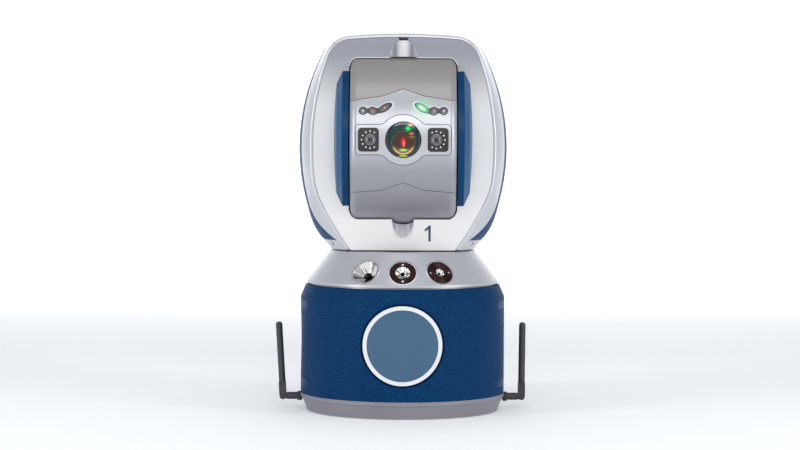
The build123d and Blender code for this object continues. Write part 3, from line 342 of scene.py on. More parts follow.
motor_iron = Finish("motor_laminations", Metallic=0.8, Roughness=0.45)
sheets = (motor_iron.axis("Z") * 9000.0).sine()
motor_iron.coloured(sheets.soft(-0.4, 0.9), (0.09, 0.085, 0.08), (0.22, 0.21, 0.2))
motor_iron.bump(sheets, 0.00004)
dress(motor_iron, "azimuth_stator", "azimuth_rotor", "zenith_stator", "zenith_rotor")

circuit_board = Finish("circuit_board", Roughness=0.4, Coat_Weight=0.3)
tracks = circuit_board.noise(260.0, 0.0).soft(0.52, 0.56)
circuit_board.coloured(tracks, (0.006, 0.075, 0.022), (0.015, 0.16, 0.05))
circuit_board.bump(tracks, 0.00004)
dress(circuit_board, "control_board", "yoke_board")

scale_glass = Finish("scale_glass", Metallic=0.7, Roughness=0.1)
scale_glass.coloured(scale_glass.noise(900.0, 0.0), (0.3, 0.34, 0.36), (0.46, 0.5, 0.52))
dress(scale_glass, "azimuth_encoder_disc", "zenith_encoder_disc")

black_plastic = grained("black_moulding", (1700.0, 3.0, 0.6), (0.012, 0.012, 0.014), (0.026, 0.025, 0.03),
                        (0.34, 0.56), 0.0001, (25.0, 3.0))
dress(black_plastic, "azimuth_read_heads", "zenith_read_heads", "slip_ring", "power_supply", "laser_module",
      "connector_panel", "power_socket", "data_sockets", "azimuth_shaft")

# ---------------------------------------------------------------- collar
# A spun aluminium cone sprayed silver, with a straight lip that stands on the shell's shoulder.
# It is bored for the three nests.


def sprayed_silver(name, first, second, drift_scale, low, high, **constants):
    """Metal paint: flakes, a slow drift of tone and a clear coat."""
    finish = Finish(name, **constants)
    flake = finish.noise(2600.0, 2.0, 0.6)
    finish.tone = finish.blend(flake * 0.6 + finish.noise(drift_scale, 3.0) * 0.4, first, second)
    finish.feed("Base Color", finish.tone)
    finish.textured(flake, low, high, 0.00003)
    return finish


dress(sprayed_silver("silver_paint", (0.41, 0.42, 0.46), (0.56, 0.57, 0.61), 7.0, 0.3, 0.46,
                     Metallic=0.45, Coat_Weight=0.25, Coat_Roughness=0.2), "collar")

# ---------------------------------------------------------------- reflector nests
# Hardened steel cups for the home positions of three sizes of reflector ball, pressed into the collar.
# The large one is a bare polished cone; the other two carry a dark burnished plate round a bright bowl.
nest_reach, nest_level, nest_tilt = 0.0946, 0.15602, (0.788, 0.615)


def nest_seat(turn):
    """The middle of a nest's mouth on the collar and the way it faces; turn is its bearing from the front."""
    out = Vector((math.sin(math.radians(turn)), -math.cos(math.radians(turn)), 0))
    return out * nest_reach + Vector((0, 0, nest_level)), out * nest_tilt[0] + Vector((0, 0, nest_tilt[1]))


def nest_finish(name, turn, bowl, hole, plate_colour):
    """Polished steel inside the bowl, burnished plate outside it, and near black down the middle hole as painted
    shade.
    """
    finish = Finish(name, Metallic=1.0)
    origin, normal = nest_seat(turn)
    sideways = normal.cross(Vector((0, 0, 1))).normalized()
    upward = sideways.cross(normal)

    def along(direction):
        away = finish.node("ShaderNodeVectorMath", {"operation": "SUBTRACT"}, {0: finish.place(), 1: origin})
        return finish.node("ShaderNodeVectorMath", {"operation": "DOT_PRODUCT"}, {0: away, 1: direction}, "Value")

    right, up = along(sideways), along(upward)
    radius = across(right, up)
    angle = up.math("ARCTAN2", up, right)
    plate = radius > bowl
    # Painted shade: the middle hole is painted near black, standing for the shadow down it.
    hole_shade_mask = radius < hole
    spun = (radius * 14000.0).sine()
    facets = (angle * 6.0).sine()
    scuffs = finish.noise(420.0, 4.0, 0.6)
    bright = finish.blend(scuffs, (0.62, 0.61, 0.6), (0.84, 0.83, 0.82))
    ringed = finish.blend(spun.soft(-1.0, 1.0), shade(plate_colour, 0.75), shade(plate_colour, 1.3))
    skin = finish.blend(plate, bright, ringed)
    finish.coloured(hole_shade_mask, skin, (0.004, 0.004, 0.004))
    finish.feed("Roughness", finish.span(scuffs, 0.07, 0.17) + hole_shade_mask * 0.6)
    finish.bump((1 - plate) * facets * radius * 90.0 + plate * spun * 0.03, 0.0011)
    return finish


dress(nest_finish("nest_cone_steel", -25, 0.0136, 0.0046, (0.5, 0.48, 0.46)), "nest_large")
burnished = (0.055, 0.026, 0.024)
dress(nest_finish("nest_middle_steel", 0, 0.0078, 0.0024, burnished), "nest_medium")
dress(nest_finish("nest_small_steel", 25, 0.0047, 0.0015, burnished), "nest_small")

bright_screw = grained("bright_screws", (900.0, 2.0), (0.62, 0.61, 0.6), (0.82, 0.81, 0.8), (0.16, 0.3),
                       Metallic=1.0)
dress(bright_screw, "nest_screws", "cover_screws", "trunnion_shafts", "zenith_bearings")


def settle(name, mesh, finish, body, crease=35):
    """A finished mesh becomes a piece that rides on its body."""
    mesh.materials.clear()
    mesh.materials.append(finish.material)
    mesh.polygons.foreach_set("material_index", [0] * len(mesh.polygons))
    mesh.polygons.foreach_set("use_smooth", [True] * len(mesh.polygons))
    mesh.set_sharp_from_angle(angle=math.radians(crease))
    piece = bpy.data.objects.new(name, mesh)
    bpy.context.scene.collection.objects.link(piece)
    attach(piece, body)
    return piece


def turned(shapes, profiles, steps=48):
    """Lathed bodies in one mesh: an (origin, axis) for each, and a closed profile of (along, radius)."""
    work = bmesh.new()
    angles = [2 * math.pi * i / steps for i in range(steps)]
    for (origin, axis), profile in zip(shapes, profiles):
        axis = Vector(axis).normalized()
        side = axis.orthogonal().normalized()
        other = axis.cross(side)
        hoops = []
        for along, radius in profile:
            centre = Vector(origin) + axis * along
            hoops.append([work.verts.new(centre + (side * math.cos(a) + other * math.sin(a)) * radius)
                          for a in angles])
        for first, second in zip(hoops, hoops[1:] + hoops[:1]):
            for i in range(steps):
                j = (i + 1) % steps
                work.faces.new((first[i], first[j], second[j], second[i]))
    bmesh.ops.remove_doubles(work, verts=work.verts, dist=1e-6)
    bmesh.ops.dissolve_degenerate(work, edges=work.edges, dist=1e-7)
    bmesh.ops.recalc_face_normals(work, faces=work.faces)
    return mesh_of(work, "turned")


# A thin rolled edge stands round each nest where the collar is spot-faced for it.
rim_profile = [(-0.0019, 0.01405), (-0.0019, 0.0156), (-0.0013, 0.0159), (-0.0011, 0.0156), (-0.0011, 0.0144)]
bright_edge = grained("machined_edge", (500.0, 3.0), (0.7, 0.7, 0.72), (0.86, 0.86, 0.88), (0.18, 0.32),
                      Metallic=1.0)
nest_rims = turned([nest_seat(turn) for turn in (-25, 0, 25)], [rim_profile] * 3)
settle("nest_edges", nest_rims, bright_edge, "base")

# ---------------------------------------------------------------- connector panel, sockets and power button
# A black moulded panel let into the rear of the shell, with a power inlet, two data sockets and a button.
# Plated contacts stand in the sockets, and the button has a fine ring of diamond knurling.


class Pattern(Web):
    """A Geometry Nodes tree that repeats something; its sizes are named inputs."""

    def __init__(self, name, **sizes):
        super().__init__(bpy.data.node_groups.new(name, "GeometryNodeTree"))
        face = self.tree.interface
        face.new_socket("Geometry", in_out="INPUT", socket_type="NodeSocketGeometry")
        self.keys = {}
        for key, size in sizes.items():
            kind = "NodeSocketInt" if isinstance(size, int) else "NodeSocketFloat"
            self.keys[key] = face.new_socket(key, in_out="INPUT", socket_type=kind).identifier
        self.sizes = sizes
        face.new_socket("Geometry", in_out="OUTPUT", socket_type="NodeSocketGeometry")
        self.entry = self.tree.nodes.new("NodeGroupInput")
        self.exit = self.tree.nodes.new("NodeGroupOutput")

    def given(self, name="Geometry"):
        return Value(self, self.entry.outputs[name])

    def close(self, shape, finish):
        """Realize Instances and Set Material end the tree."""
        whole = self.node("GeometryNodeRealizeInstances", values={0: shape})
        dressed = self.node("GeometryNodeSetMaterial", values={"Geometry": whole, "Material": finish.material})
        self.plug(self.exit.inputs[0], dressed)

    def run(self, mesh, **sizes):
        """The mesh that the tree makes from another mesh."""
        carrier = bpy.data.objects.new("carrier", mesh)
        bpy.context.scene.collection.objects.link(carrier)
        maker = carrier.modifiers.new("pattern", "NODES")
        maker.node_group = self.tree
        for key, size in {**self.sizes, **sizes}.items():
            maker[self.keys[key]] = size
        bpy.context.view_layer.update()
        made = carrier.evaluated_get(bpy.context.evaluated_depsgraph_get())
        result = bpy.data.meshes.new_from_object(made)
        carrier.modifiers.remove(maker)
        bpy.data.objects.remove(carrier)
        return result


def points_mesh(places):
    """Loose points, each with its own direction, for a pattern to stand things on."""
    mesh = bpy.data.meshes.new("places")
    mesh.from_pydata([place for place, _ in places], [], [])
    toward = mesh.attributes.new("toward", "FLOAT_VECTOR", "POINT")
    toward.data.foreach_set("vector", [number for _, way in places for number in way])
    return mesh


def stand(name, places, shape_of, finish, slot_name, body, **sizes):
    """A piece made of one small shape stood on every place, turned the way the place says."""
    pattern = Pattern(name, **sizes)
    shape = shape_of(pattern)
    toward = pattern.node("GeometryNodeInputNamedAttribute", {"data_type": "FLOAT_VECTOR"}, {"Name": "toward"})
    turn = pattern.node("FunctionNodeAlignRotationToVector", {"axis": "Z"}, {"Vector": toward})
    placed = pattern.node("GeometryNodeInstanceOnPoints", values={
        "Points": pattern.given(), "Instance": shape, "Rotation": turn})
    pattern.close(placed, finish)
    settle(name, pattern.run(points_mesh(places)), finish, body)


def joined(pattern, *shapes):
    """Several shapes as one."""
    join = pattern.tree.nodes.new("GeometryNodeJoinGeometry")
    for shape in shapes:
        pattern.tree.links.new(shape.socket, join.inputs[0])
    return Value(pattern, join.outputs[0])


def pin_shape(pattern):
    """A round pin with a domed end: a short cylinder and half a ball."""
    rod = pattern.node("GeometryNodeMeshCylinder", values={
        "Vertices": 12, "Radius": pattern.given("pin_radius"), "Depth": pattern.given("pin_length")})
    ball = pattern.node("GeometryNodeMeshUVSphere", values={
        "Segments": 12, "Rings": 6, "Radius": pattern.given("pin_radius")})
    lift = pattern.node("ShaderNodeCombineXYZ", values={2: pattern.given("pin_length") * 0.5})
    raised = pattern.node("GeometryNodeTransform", values={"Geometry": ball, "Translation": lift})
    return joined(pattern, rod, raised)


gold_contact = grained("plated_contacts", (1200.0, 2.0), (0.62, 0.42, 0.16), (0.8, 0.58, 0.26), (0.2, 0.34),
                       Metallic=1.0)
power_x, _, power_z = middle("power_socket")
data_low, data_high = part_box("data_sockets")
data_x, upper_z, lower_z = middle("data_sockets")[0], data_high[2] - 0.008, data_low[2] + 0.0065
pin_foot = 0.095


def pin_ring(centre_x, centre_z, depth, ring, count):
    """Pins in a ring inside a round socket that faces the rear."""
    angles = [2 * math.pi * i / count for i in range(count)]
    return [((centre_x + ring * math.sin(a), depth, centre_z + ring * math.cos(a)), (0, 1, 0)) for a in angles]


contact_places = pin_ring(power_x, power_z, pin_foot + 0.0005, 0.0045, 4)
contact_places += pin_ring(data_x, upper_z, pin_foot, 0.0034, 8) + [((data_x, pin_foot, upper_z), (0, 1, 0))]
contact_places += pin_ring(data_x, lower_z, pin_foot, 0.003, 6)
stand("socket_contacts", contact_places, pin_shape, gold_contact, "steel", "base", pin_radius=0.00055,
      pin_length=0.006)

button_skin = Finish("button_plastic", Coat_Weight=0.3)
button_grain = button_skin.noise(1400.0, 2.0)
button_x, _, button_z = middle("power_button")
from_axis = across(button_skin.axis("X") - button_x, button_skin.axis("Z") - button_z)
knurl = (button_skin.axis("X") * 9000.0).sine() * (button_skin.axis("Z") * 9000.0).sine()
lit_ring = (from_axis > 0.004) * (from_axis < 0.0049)
button_skin.coloured(lit_ring, (0.03, 0.03, 0.034), (0.05, 0.62, 0.22))
button_skin.textured(button_grain, 0.3, 0.45)
button_skin.bump(knurl * (from_axis > 0.0052) * 0.6 + button_grain * 0.2, 0.00012)
dress(button_skin, "power_button")

# ---------------------------------------------------------------- antennas
# Two folding radio antennas: a knurled nut on a plated jack, a hinged elbow and a slim rubber-skinned blade.
# The blades are moulded in charcoal and end in a rounded tip with a shallow groove under it.
rubber = Finish("antenna_rubber")
rubber_grain = rubber.noise(1900.0, 3.0, 0.6)
rubber_height = rubber.axis("Z")
ring_marks = (rubber_height * 1500.0).sine() * (rubber_height < 0.026) * (rubber_height > 0.019)
# The tip's groove is a band bumped in and painted darker; the darkening is painted shade in the groove.
tip_groove_and_shade = (rubber_height > 0.0888) * (rubber_height < 0.0896)
rubber_tone = rubber.blend(rubber.noise(40.0, 3.0), (0.024, 0.024, 0.032), (0.046, 0.045, 0.058))
rubber.coloured(tip_groove_and_shade * 0.6, rubber_tone, (0.004, 0.004, 0.005))
rubber.textured(rubber_grain, 0.4, 0.6)
rubber.bump(rubber_grain * 0.3 + ring_marks * 1.2 - tip_groove_and_shade * 2.0, 0.00012)
dress(rubber, "antenna_blade_left", "antenna_blade_right", "antenna_elbow_left", "antenna_elbow_right")

plated_jack = grained("plated_jack", (900.0, 3.0), (0.42, 0.36, 0.25), (0.66, 0.58, 0.42), (0.22, 0.4),
                      Metallic=1.0)
dress(plated_jack, "antenna_jacks")


def knurl_shape(pattern):
    """One straight tooth of the knurling: a square bar set on edge."""
    return pattern.node("GeometryNodeMeshCylinder", values={
        "Vertices": 4, "Radius": pattern.given("tooth"), "Depth": pattern.given("tooth_length")})


sides = ((-1, "left"), (1, "right"))
nut_x, nut_height, nut_radius, tooth_count = 0.1131, 0.014, 0.00475, 26
around_nut = [2 * math.pi * i / tooth_count for i in range(tooth_count)]
for side, word in sides:
    tooth_places = [((side * nut_x, nut_radius * math.cos(a), nut_height + nut_radius * math.sin(a)), (1, 0, 0))
                    for a in around_nut]
    stand("antenna_nut_knurling_" + word, tooth_places, knurl_shape, rubber, "black_plastic",
          "antenna_elbow_" + word, tooth=0.00042, tooth_length=0.0042)

# ---------------------------------------------------------------- yoke frame and top cap
# The fork that carries the drum: an aluminium casting, sprayed silver after machining.
# Its crown is closed by a moulded cap in the same paint, split from the casting by a fine seam.
dress(sprayed_silver("yoke_silver", (0.47, 0.48, 0.515), (0.65, 0.66, 0.7), 6.0, 0.26, 0.42,
                     Metallic=0.5, Coat_Weight=0.35, Coat_Roughness=0.15), "yoke_frame", "top_cap")

# ---------------------------------------------------------------- front and rear covers
# Flat moulded shields in off-white satin paint, held from behind at the front and by screws at the rear.
# The front one has a scoop over and under the drum, and a plain number 1 printed low on its right.
cover_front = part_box("front_cover")[0][1]
cover_paint = Finish("cover_white", Metallic=0.1, Coat_Weight=0.25, Coat_Roughness=0.25)
cover_grain = cover_paint.noise(1800.0, 3.0, 0.6)
cover_drift = cover_paint.noise(9.0, 3.0)
# Painted shade: the covers darken from their off-white to a dark grey towards the top.
crown_shade_share = cover_paint.axis("Z").soft(0.325, 0.395)
low_tone = cover_paint.blend(cover_drift * 0.6 + cover_grain * 0.4, (0.68, 0.68, 0.68), (0.76, 0.76, 0.76))
crown_shade_tone = cover_paint.blend(cover_grain, (0.225, 0.235, 0.275), (0.275, 0.285, 0.325))
cover_paint.coloured(crown_shade_share, low_tone, crown_shade_tone)
cover_paint.textured(cover_grain, 0.32, 0.48, 0.00005)
dress(cover_paint, "front_cover", "rear_cover")


def plate(outline, low_y, high_y):
    """A flat shape in the XZ plane, given thickness."""
    work = bmesh.new()
    layers = [[work.verts.new((x, y, z)) for x, z in outline] for y in (low_y, high_y)]
    work.faces.new(layers[0])
    work.faces.new(layers[1][::-1])
    for i in range(len(outline)):
        work.faces.new((layers[0][i - 1], layers[1][i - 1], layers[1][i], layers[0][i]))
    bmesh.ops.recalc_face_normals(work, faces=work.faces)
    bmesh.ops.triangulate(work, faces=work.faces)
    return mesh_of(work, "plate")


def backed(work, name, back_y):
    """An open sheet closed by side walls and a back; back_y gives the walls' far y from the near one."""
    wall = bmesh.ops.extrude_edge_only(work, edges=[e for e in work.edges if e.is_boundary])
    for item in wall["geom"]:
        if isinstance(item, bmesh.types.BMVert):
            item.co.y = back_y(item.co.y)
    bmesh.ops.contextual_create(work, geom=[e for e in work.edges if e.is_boundary])
    bmesh.ops.recalc_face_normals(work, faces=work.faces)
    return mesh_of(work, name)


number_ink = grained("number_ink", (1500.0, 3.0), (0.02, 0.03, 0.085), (0.04, 0.055, 0.125), (0.4, 0.55),
                     Coat_Weight=0.1)
number_left, number_foot, wide, high, stem = 0.0236, 0.1872, 0.0065, 0.0173, 0.0026
one = [(wide - stem, 0), (wide, 0), (wide, high), (wide - stem * 0.75, high), (wide * 0.3, high * 0.84),
       (0, high * 0.77), (0, high * 0.62), (wide - stem, high * 0.74)]
one = [(number_left + x, number_foot + z) for x, z in one]
number = plate(one, cover_front - 0.00006, cover_front + 0.0002)
settle("cover_number", number, number_ink, "yoke")

# The mouth of the upper scoop: a black half-moon plate of painted shade under the crown, standing for the dark
# opening, with a light rolled lip.
mouth_top, mouth_half, mouth_drop = 0.4066, 0.0058, 0.0034
half_turn = [math.pi * i / 16 for i in range(17)]
moon = [(mouth_half * math.cos(a), mouth_top - mouth_drop * math.sin(a)) for a in half_turn]
mouth_black = Finish("mouth_black", Roughness=0.7)
mouth_black.coloured(mouth_black.noise(900.0), (0.004, 0.004, 0.005), (0.012, 0.012, 0.013))
mouth = plate(moon, cover_front - 0.0008, cover_front + 0.0024)
settle("scoop_mouth_shade", mouth, mouth_black, "yoke")


def lines_mesh(lines):
    """Lines through points, for a bead to follow."""
    points, edges = [], []
    for line in lines:
        start = len(points)
        points += line
        edges += [(start + i, start + i + 1) for i in range(len(line) - 1)]
    mesh = bpy.data.meshes.new("lines")
    mesh.from_pydata(points, edges, [])
    return mesh


def lay_bead(name, lines, bead, finish, body="yoke", crease=35, corners=6):
    """A piece made of a round bead along every line, its ends closed."""
    pattern = Pattern(name, bead=bead, corners=corners)
    line = pattern.node("GeometryNodeMeshToCurve", values={0: pattern.given()})
    section = pattern.node("GeometryNodeCurvePrimitiveCircle", {"mode": "RADIUS"}, {
        "Resolution": pattern.given("corners"), "Radius": pattern.given("bead")})
    swept = pattern.node("GeometryNodeCurveToMesh", values={
        "Curve": line, "Profile Curve": section, "Fill Caps": True})
    pattern.close(swept, finish)
    settle(name, pattern.run(lines_mesh(lines)), finish, body, crease)


lip_line = [(x * 1.09, cover_front - 0.0006, z - 0.0004) for x, z in moon]
lay_bead("scoop_lip", [lip_line], 0.00035, bright_edge, corners=8)

# The liner of the upper scoop: a bell-shaped dish with a round rib down its middle.
scoop_paint = Finish("scoop_liner", Metallic=0.35, Coat_Weight=0.4, Coat_Roughness=0.12)
scoop_grain = scoop_paint.noise(1800.0, 3.0)
scoop_side = scoop_paint.axis("X").size()
# Painted highlight down the rib, fading towards the top, and painted shade in the grooves at its sides.
rib_highlight_share = (1 - scoop_side.soft(0.003, 0.0078)) * (1 - scoop_paint.axis("Z").soft(0.3985, 0.404) * 0.5)
groove_shade_share = scoop_side.soft(0.0066, 0.0086) * (1 - scoop_side.soft(0.0096, 0.0128))
scoop_highlight_tone = scoop_paint.blend(rib_highlight_share, (0.36, 0.365, 0.4), (0.66, 0.66, 0.66))
scoop_paint.coloured(groove_shade_share * 0.75, scoop_highlight_tone, (0.17, 0.172, 0.195))
scoop_paint.textured(scoop_grain, 0.22, 0.36)
scoop_foot, scoop_head = 0.3862, 0.4036
dish = bmesh.new()
dish_rows = []
dish_steps, half_columns = 45, 30
for j in range(dish_steps + 1):
    rise = j / dish_steps
    half = 0.0056 + 0.0094 * (1 - rise ** 1.6) ** 0.75
    row = []
    for i in range(-half_columns, half_columns + 1):
        x = half * i / half_columns
        edge = min(1.0, (half - abs(x)) / 0.001)
        rib_height = 0.0009 * max(0.0, 1 - (x / 0.007) ** 2) ** 1.5 * (1 - 0.5 * rise ** 4)
        groove = 0.0003 * math.sin(math.pi * min(1.0, (half - abs(x)) / max(0.001, half - 0.006)))
        out = edge * (0.00055 + rib_height - groove) - 0.0001
        row.append(dish.verts.new((x, cover_front - out, scoop_foot + (scoop_head - scoop_foot) * rise)))
    dish_rows.append(row)
for low_row, high_row in zip(dish_rows, dish_rows[1:]):
    for i in range(2 * half_columns):
        dish.faces.new((low_row[i], low_row[i + 1], high_row[i + 1], high_row[i]))
liner = backed(dish, "dish", lambda y: cover_front + 0.0022)
settle("upper_scoop_liner", liner, scoop_paint, "yoke", 50)


def sharp_lines(name, allowed, shift):
    """The sharp edges of a CAD piece that a test lets through, moved by a shift, as lines for a bead."""
    work = bmesh.new()
    work.from_mesh(nodes[name].data)
    bmesh.ops.remove_doubles(work, verts=work.verts, dist=2e-6)
    lines = []
    for edge in work.edges:
        if len(edge.link_faces) == 2 and edge.calc_face_angle(0) > math.radians(40):
            if all(allowed(vert.co) for vert in edge.verts):
                lines.append([tuple(vert.co + shift(vert.co)) for vert in edge.verts])
    work.free()
    return lines


def in_window(co):
    """On the window's edge in the front cover, where the trunnion covers leave it free."""
    clear_of_discs = abs(co.x) < 0.0584 or co.z > 0.386
    return clear_of_discs and abs(co.x) < 0.06 and 0.211 < co.z < 0.392 and co.y < cover_front + edge_reach


def past_window(co):
    return abs(co.x) > 0.076 or co.z > 0.3925


def on_outline(co):
    past_mouth = abs(co.x) > 0.007 or co.z > 0.4063
    return past_window(co) and past_mouth and co.y < cover_front + edge_reach


def on_rear_outline(co):
    return past_window(co) and co.y > cover_back - edge_reach


# The window has a light rolled edge, and a grey bead of painted shade marks the seam where each cover meets the
# frame.
cover_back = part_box("rear_cover")[1][1]
edge_reach = 0.0002
inward = Vector((0, edge_reach, 0))
edge_paint = grained("painted_edge", (1500.0, 2.0), (0.74, 0.745, 0.76), (0.84, 0.845, 0.86), (0.3, 0.42),
                     Coat_Weight=0.3)
window_edge = sharp_lines("front_cover", in_window, lambda co: inward)
lay_bead("window_edge", window_edge, 0.0004, edge_paint)

# Painted shade: a grey bead laid in the seams round both covers.
seam_shade_finish = Finish("cover_seal", Roughness=0.6)
seam_shade_finish.coloured(seam_shade_finish.noise(500.0, 3.0), (0.09, 0.09, 0.11), (0.15, 0.15, 0.175))
cover_seam = sharp_lines("front_cover", on_outline, lambda co: inward)
cover_seam += sharp_lines("rear_cover", on_rear_outline, lambda co: -inward)
lay_bead("cover_seals", cover_seam, 0.00032, seam_shade_finish)

# ---------------------------------------------------------------- grip panels
# Blue moulded panels that clip into the yoke's sides, where the instrument is lifted.
# Close horizontal ribs run right across them; they stand proud and show as teeth in the outline.
grip_plastic = grained("grip_blue", (2000.0, 3.0, 0.6), (0.002, 0.036, 0.125), (0.005, 0.055, 0.18), (0.36, 0.54),
                       0.00006, (22.0, 3.0), Specular_IOR_Level=0.25)
dress(grip_plastic, "grip_panel_left", "grip_panel_right")
rib_pitch, rib_bead, rib_run, rib_steps = 0.003, 0.00085, 0.09, 60
for side, word in sides:
    panel = nodes["grip_panel_" + word].data
    surface = BVHTree.FromPolygons([v.co for v in panel.vertices], [p.vertices[:] for p in panel.polygons])
    panel_low, panel_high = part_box("grip_panel_" + word)
    rib_lines = []
    level = panel_low[2] + 0.0025
    while level < panel_high[2] - 0.002:
        line = []
        for i in range(rib_steps + 1):
            y = -rib_run / 2 + rib_run * i / rib_steps
            spot, normal, _, _ = surface.ray_cast(Vector((side * 0.2, y, level)), Vector((-side, 0, 0)))
            if spot and normal.x * side > 0.2:
                line.append(tuple(spot - normal * rib_bead * 0.25))
        if len(line) > 6:
            rib_lines.append(line[1:-1])
        level += rib_pitch
    lay_bead("grip_ribs_" + word, rib_lines, rib_bead, grip_plastic, crease=70)

# ---------------------------------------------------------------- trunnion covers
# Round blue shields over the drum's bearings, turned from plate and sprayed; the bevel at the outer edge
# is painted lighter as painted highlight, and a thin bright line of painted highlight marks its corner.
disc_paint = Finish("disc_blue", Specular_IOR_Level=0.15)
disc_grain = disc_paint.noise(1500.0, 3.0, 0.6)
disc_low, disc_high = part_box("trunnion_cover_right")
from_drum = disc_paint.axis("X").size()
bevel_highlight_share = from_drum.soft(disc_low[0] + 0.0068, disc_low[0] + 0.0078)
corner_highlight_share = from_drum.soft(disc_high[0] - 0.0012, disc_high[0] - 0.0004)
disc_tone = disc_paint.blend(disc_grain, (0.0005, 0.036, 0.115), (0.001, 0.05, 0.15))
bevel_highlight_tone = disc_paint.blend(disc_grain, (0.02, 0.085, 0.2), (0.034, 0.108, 0.24))
disc_paint.coloured(corner_highlight_share, disc_paint.blend(bevel_highlight_share, disc_tone, bevel_highlight_tone), (0.16, 0.26, 0.42))
disc_paint.textured(disc_grain, 0.26, 0.42, 0.00004)
dress(disc_paint, "trunnion_cover_left", "trunnion_cover_right")

# ---------------------------------------------------------------- drum
# The tilting head: moulded shells over side plates, all sprayed silver, rounded at the rims.
# The shells meet in fine seams; as painted shade the upper one is a darker, warmer grey and the lower one and the
# side plates a darker, cooler grey than the front, which darkens below the lens.
drum_axis = middle("head_side_plates")[2]
lens_height = drum_axis - 0.001
drum_radius = 0.1


def on_drum(radius, z):
    """The y at a height on the front of a cylinder round the drum's axis."""
    return -math.sqrt(radius ** 2 - (z - drum_axis) ** 2)


def drum_paint(name, first, second):
    """The drum's silver, in the tone of one shell."""
    return sprayed_silver(name, first, second, 8.0, 0.28, 0.44,
                          Metallic=0.45, Coat_Weight=0.3, Coat_Roughness=0.2)


front_paint = drum_paint("drum_silver", (0.36, 0.365, 0.4), (0.5, 0.505, 0.54))
# Painted shade: the front shell darkens below the lens.
below_lens_shade = 1 - (front_paint.axis("Z") - lens_height).soft(-0.04, -0.005)
front_shaded_tone = front_paint.blend(below_lens_shade * 0.75, front_paint.tone, (0.255, 0.258, 0.295))
# Painted light: a soft green tint on the shell beside the lit petal, standing for its glow.
spill_x = (front_paint.axis("X") - 0.0215) / 0.017
spill_z = (front_paint.axis("Z") - lens_height - 0.035) / 0.014
green_glow_paint = (1 - across(spill_x, spill_z).soft(0.1, 1.0)) * 0.55
front_paint.coloured(green_glow_paint, front_shaded_tone, (0.3, 0.72, 0.4))
dress(front_paint, "head_front_shell")
# The upper and lower shells are shaded copies of the front's silver: painted shade.
dress(drum_paint("drum_warm_silver", (0.3, 0.285, 0.277), (0.41, 0.39, 0.38)), "head_upper_shell")
cool_shaded_silver = drum_paint("drum_cool_silver", (0.25, 0.25, 0.28), (0.37, 0.37, 0.41))
dress(cool_shaded_silver, "head_lower_shell", "head_side_plates")
dress(drum_paint("plate_silver", (0.42, 0.425, 0.455), (0.56, 0.565, 0.6)), "lens_plate")

# A dark bead of painted shade lies in each seam between the shells, just under the surface.
drum_seam_shade_finish = Finish("seam_seal", Roughness=0.6)
drum_seam_shade_finish.coloured(drum_seam_shade_finish.noise(500.0, 3.0), (0.022, 0.022, 0.028), (0.05, 0.05, 0.058))
seam_radius, shade_bead_depth = 0.0985, 0.00022


def off_axis(co):
    """The way from the drum's axis out to a point."""
    return Vector((0, co.y, co.z - drum_axis))


def round_plate(co):
    """On the lens plate's outer edge, away from the openings for the lens and the cameras."""
    at_lens = math.hypot(co.x, co.z - lens_height) <= 0.021
    at_camera = abs(abs(co.x) - 0.0365) < 0.0125 and abs(co.z - lens_height) < 0.014
    return off_axis(co).length > seam_radius and not at_lens and not at_camera


def round_shell(co):
    """On the front shell's outer edge, above or below the lens plate."""
    return off_axis(co).length > seam_radius and abs(co.z - lens_height) > 0.0385


def sink(co):
    return off_axis(co).normalized() * -shade_bead_depth


drum_seams = sharp_lines("lens_plate", round_plate, sink) + sharp_lines("head_front_shell", round_shell, sink)
lay_bead("drum_seals", drum_seams, 0.00044, drum_seam_shade_finish, "head")

# ---------------------------------------------------------------- camera bezels, cameras and their lamps
# Two black moulded bezels pressed into the lens plate, each round a small camera with a ring of nine lamps.
# The lamps are clear domes over white emitters; the camera lenses are stepped black rings round dark glass.
dress(black_plastic, "camera_bezels", "camera_modules")
camera_column, camera_front = 0.0351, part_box("camera_modules")[0][1]
lamp_ring, lamp_count = 0.009, 9
clear_dome = Finish("lamp_dome", Coat_Weight=0.6, Coat_Roughness=0.05, Emission_Strength=0.35)
dome_glow = clear_dome.noise(2500.0)
clear_dome.coloured(dome_glow, (0.72, 0.66, 0.6), (0.92, 0.88, 0.84))
clear_dome.feed("Emission Color", clear_dome.blend(dome_glow, (0.8, 0.62, 0.5), (1.0, 0.86, 0.76)))
clear_dome.textured(dome_glow, 0.08, 0.2)


def dome_shape(pattern):
    """A lamp's dome: a small ball, half of it sunk in its place."""
    return pattern.node("GeometryNodeMeshUVSphere", values={
        "Segments": 12, "Rings": 8, "Radius": pattern.given("dome")})


lamp_places = []
for side in (-1, 1):
    for i in range(lamp_count):
        turn = math.radians((60 if side < 0 else -120) + 240 * i / (lamp_count - 1))
        x = side * camera_column + lamp_ring * math.cos(turn)
        z = lens_height + lamp_ring * math.sin(turn)
        lamp_places.append(((x, on_drum(0.0994, z) + 0.0002, z), (0, -1, 0)))
stand("camera_lamps", lamp_places, dome_shape, clear_dome, "window_plastic", "head", dome=0.00078)

camera_metal = Finish("camera_rings", Metallic=0.6)
camera_marks = camera_metal.noise(900.0, 3.0)
to_column = camera_metal.axis("X").size() - camera_column
camera_radius = across(to_column, camera_metal.axis("Z") - lens_height)
iris = camera_radius.soft(0.0021, 0.0024) * (1 - camera_radius.soft(0.006, 0.0063))
steps_in = (camera_radius * 5600.0).sine()
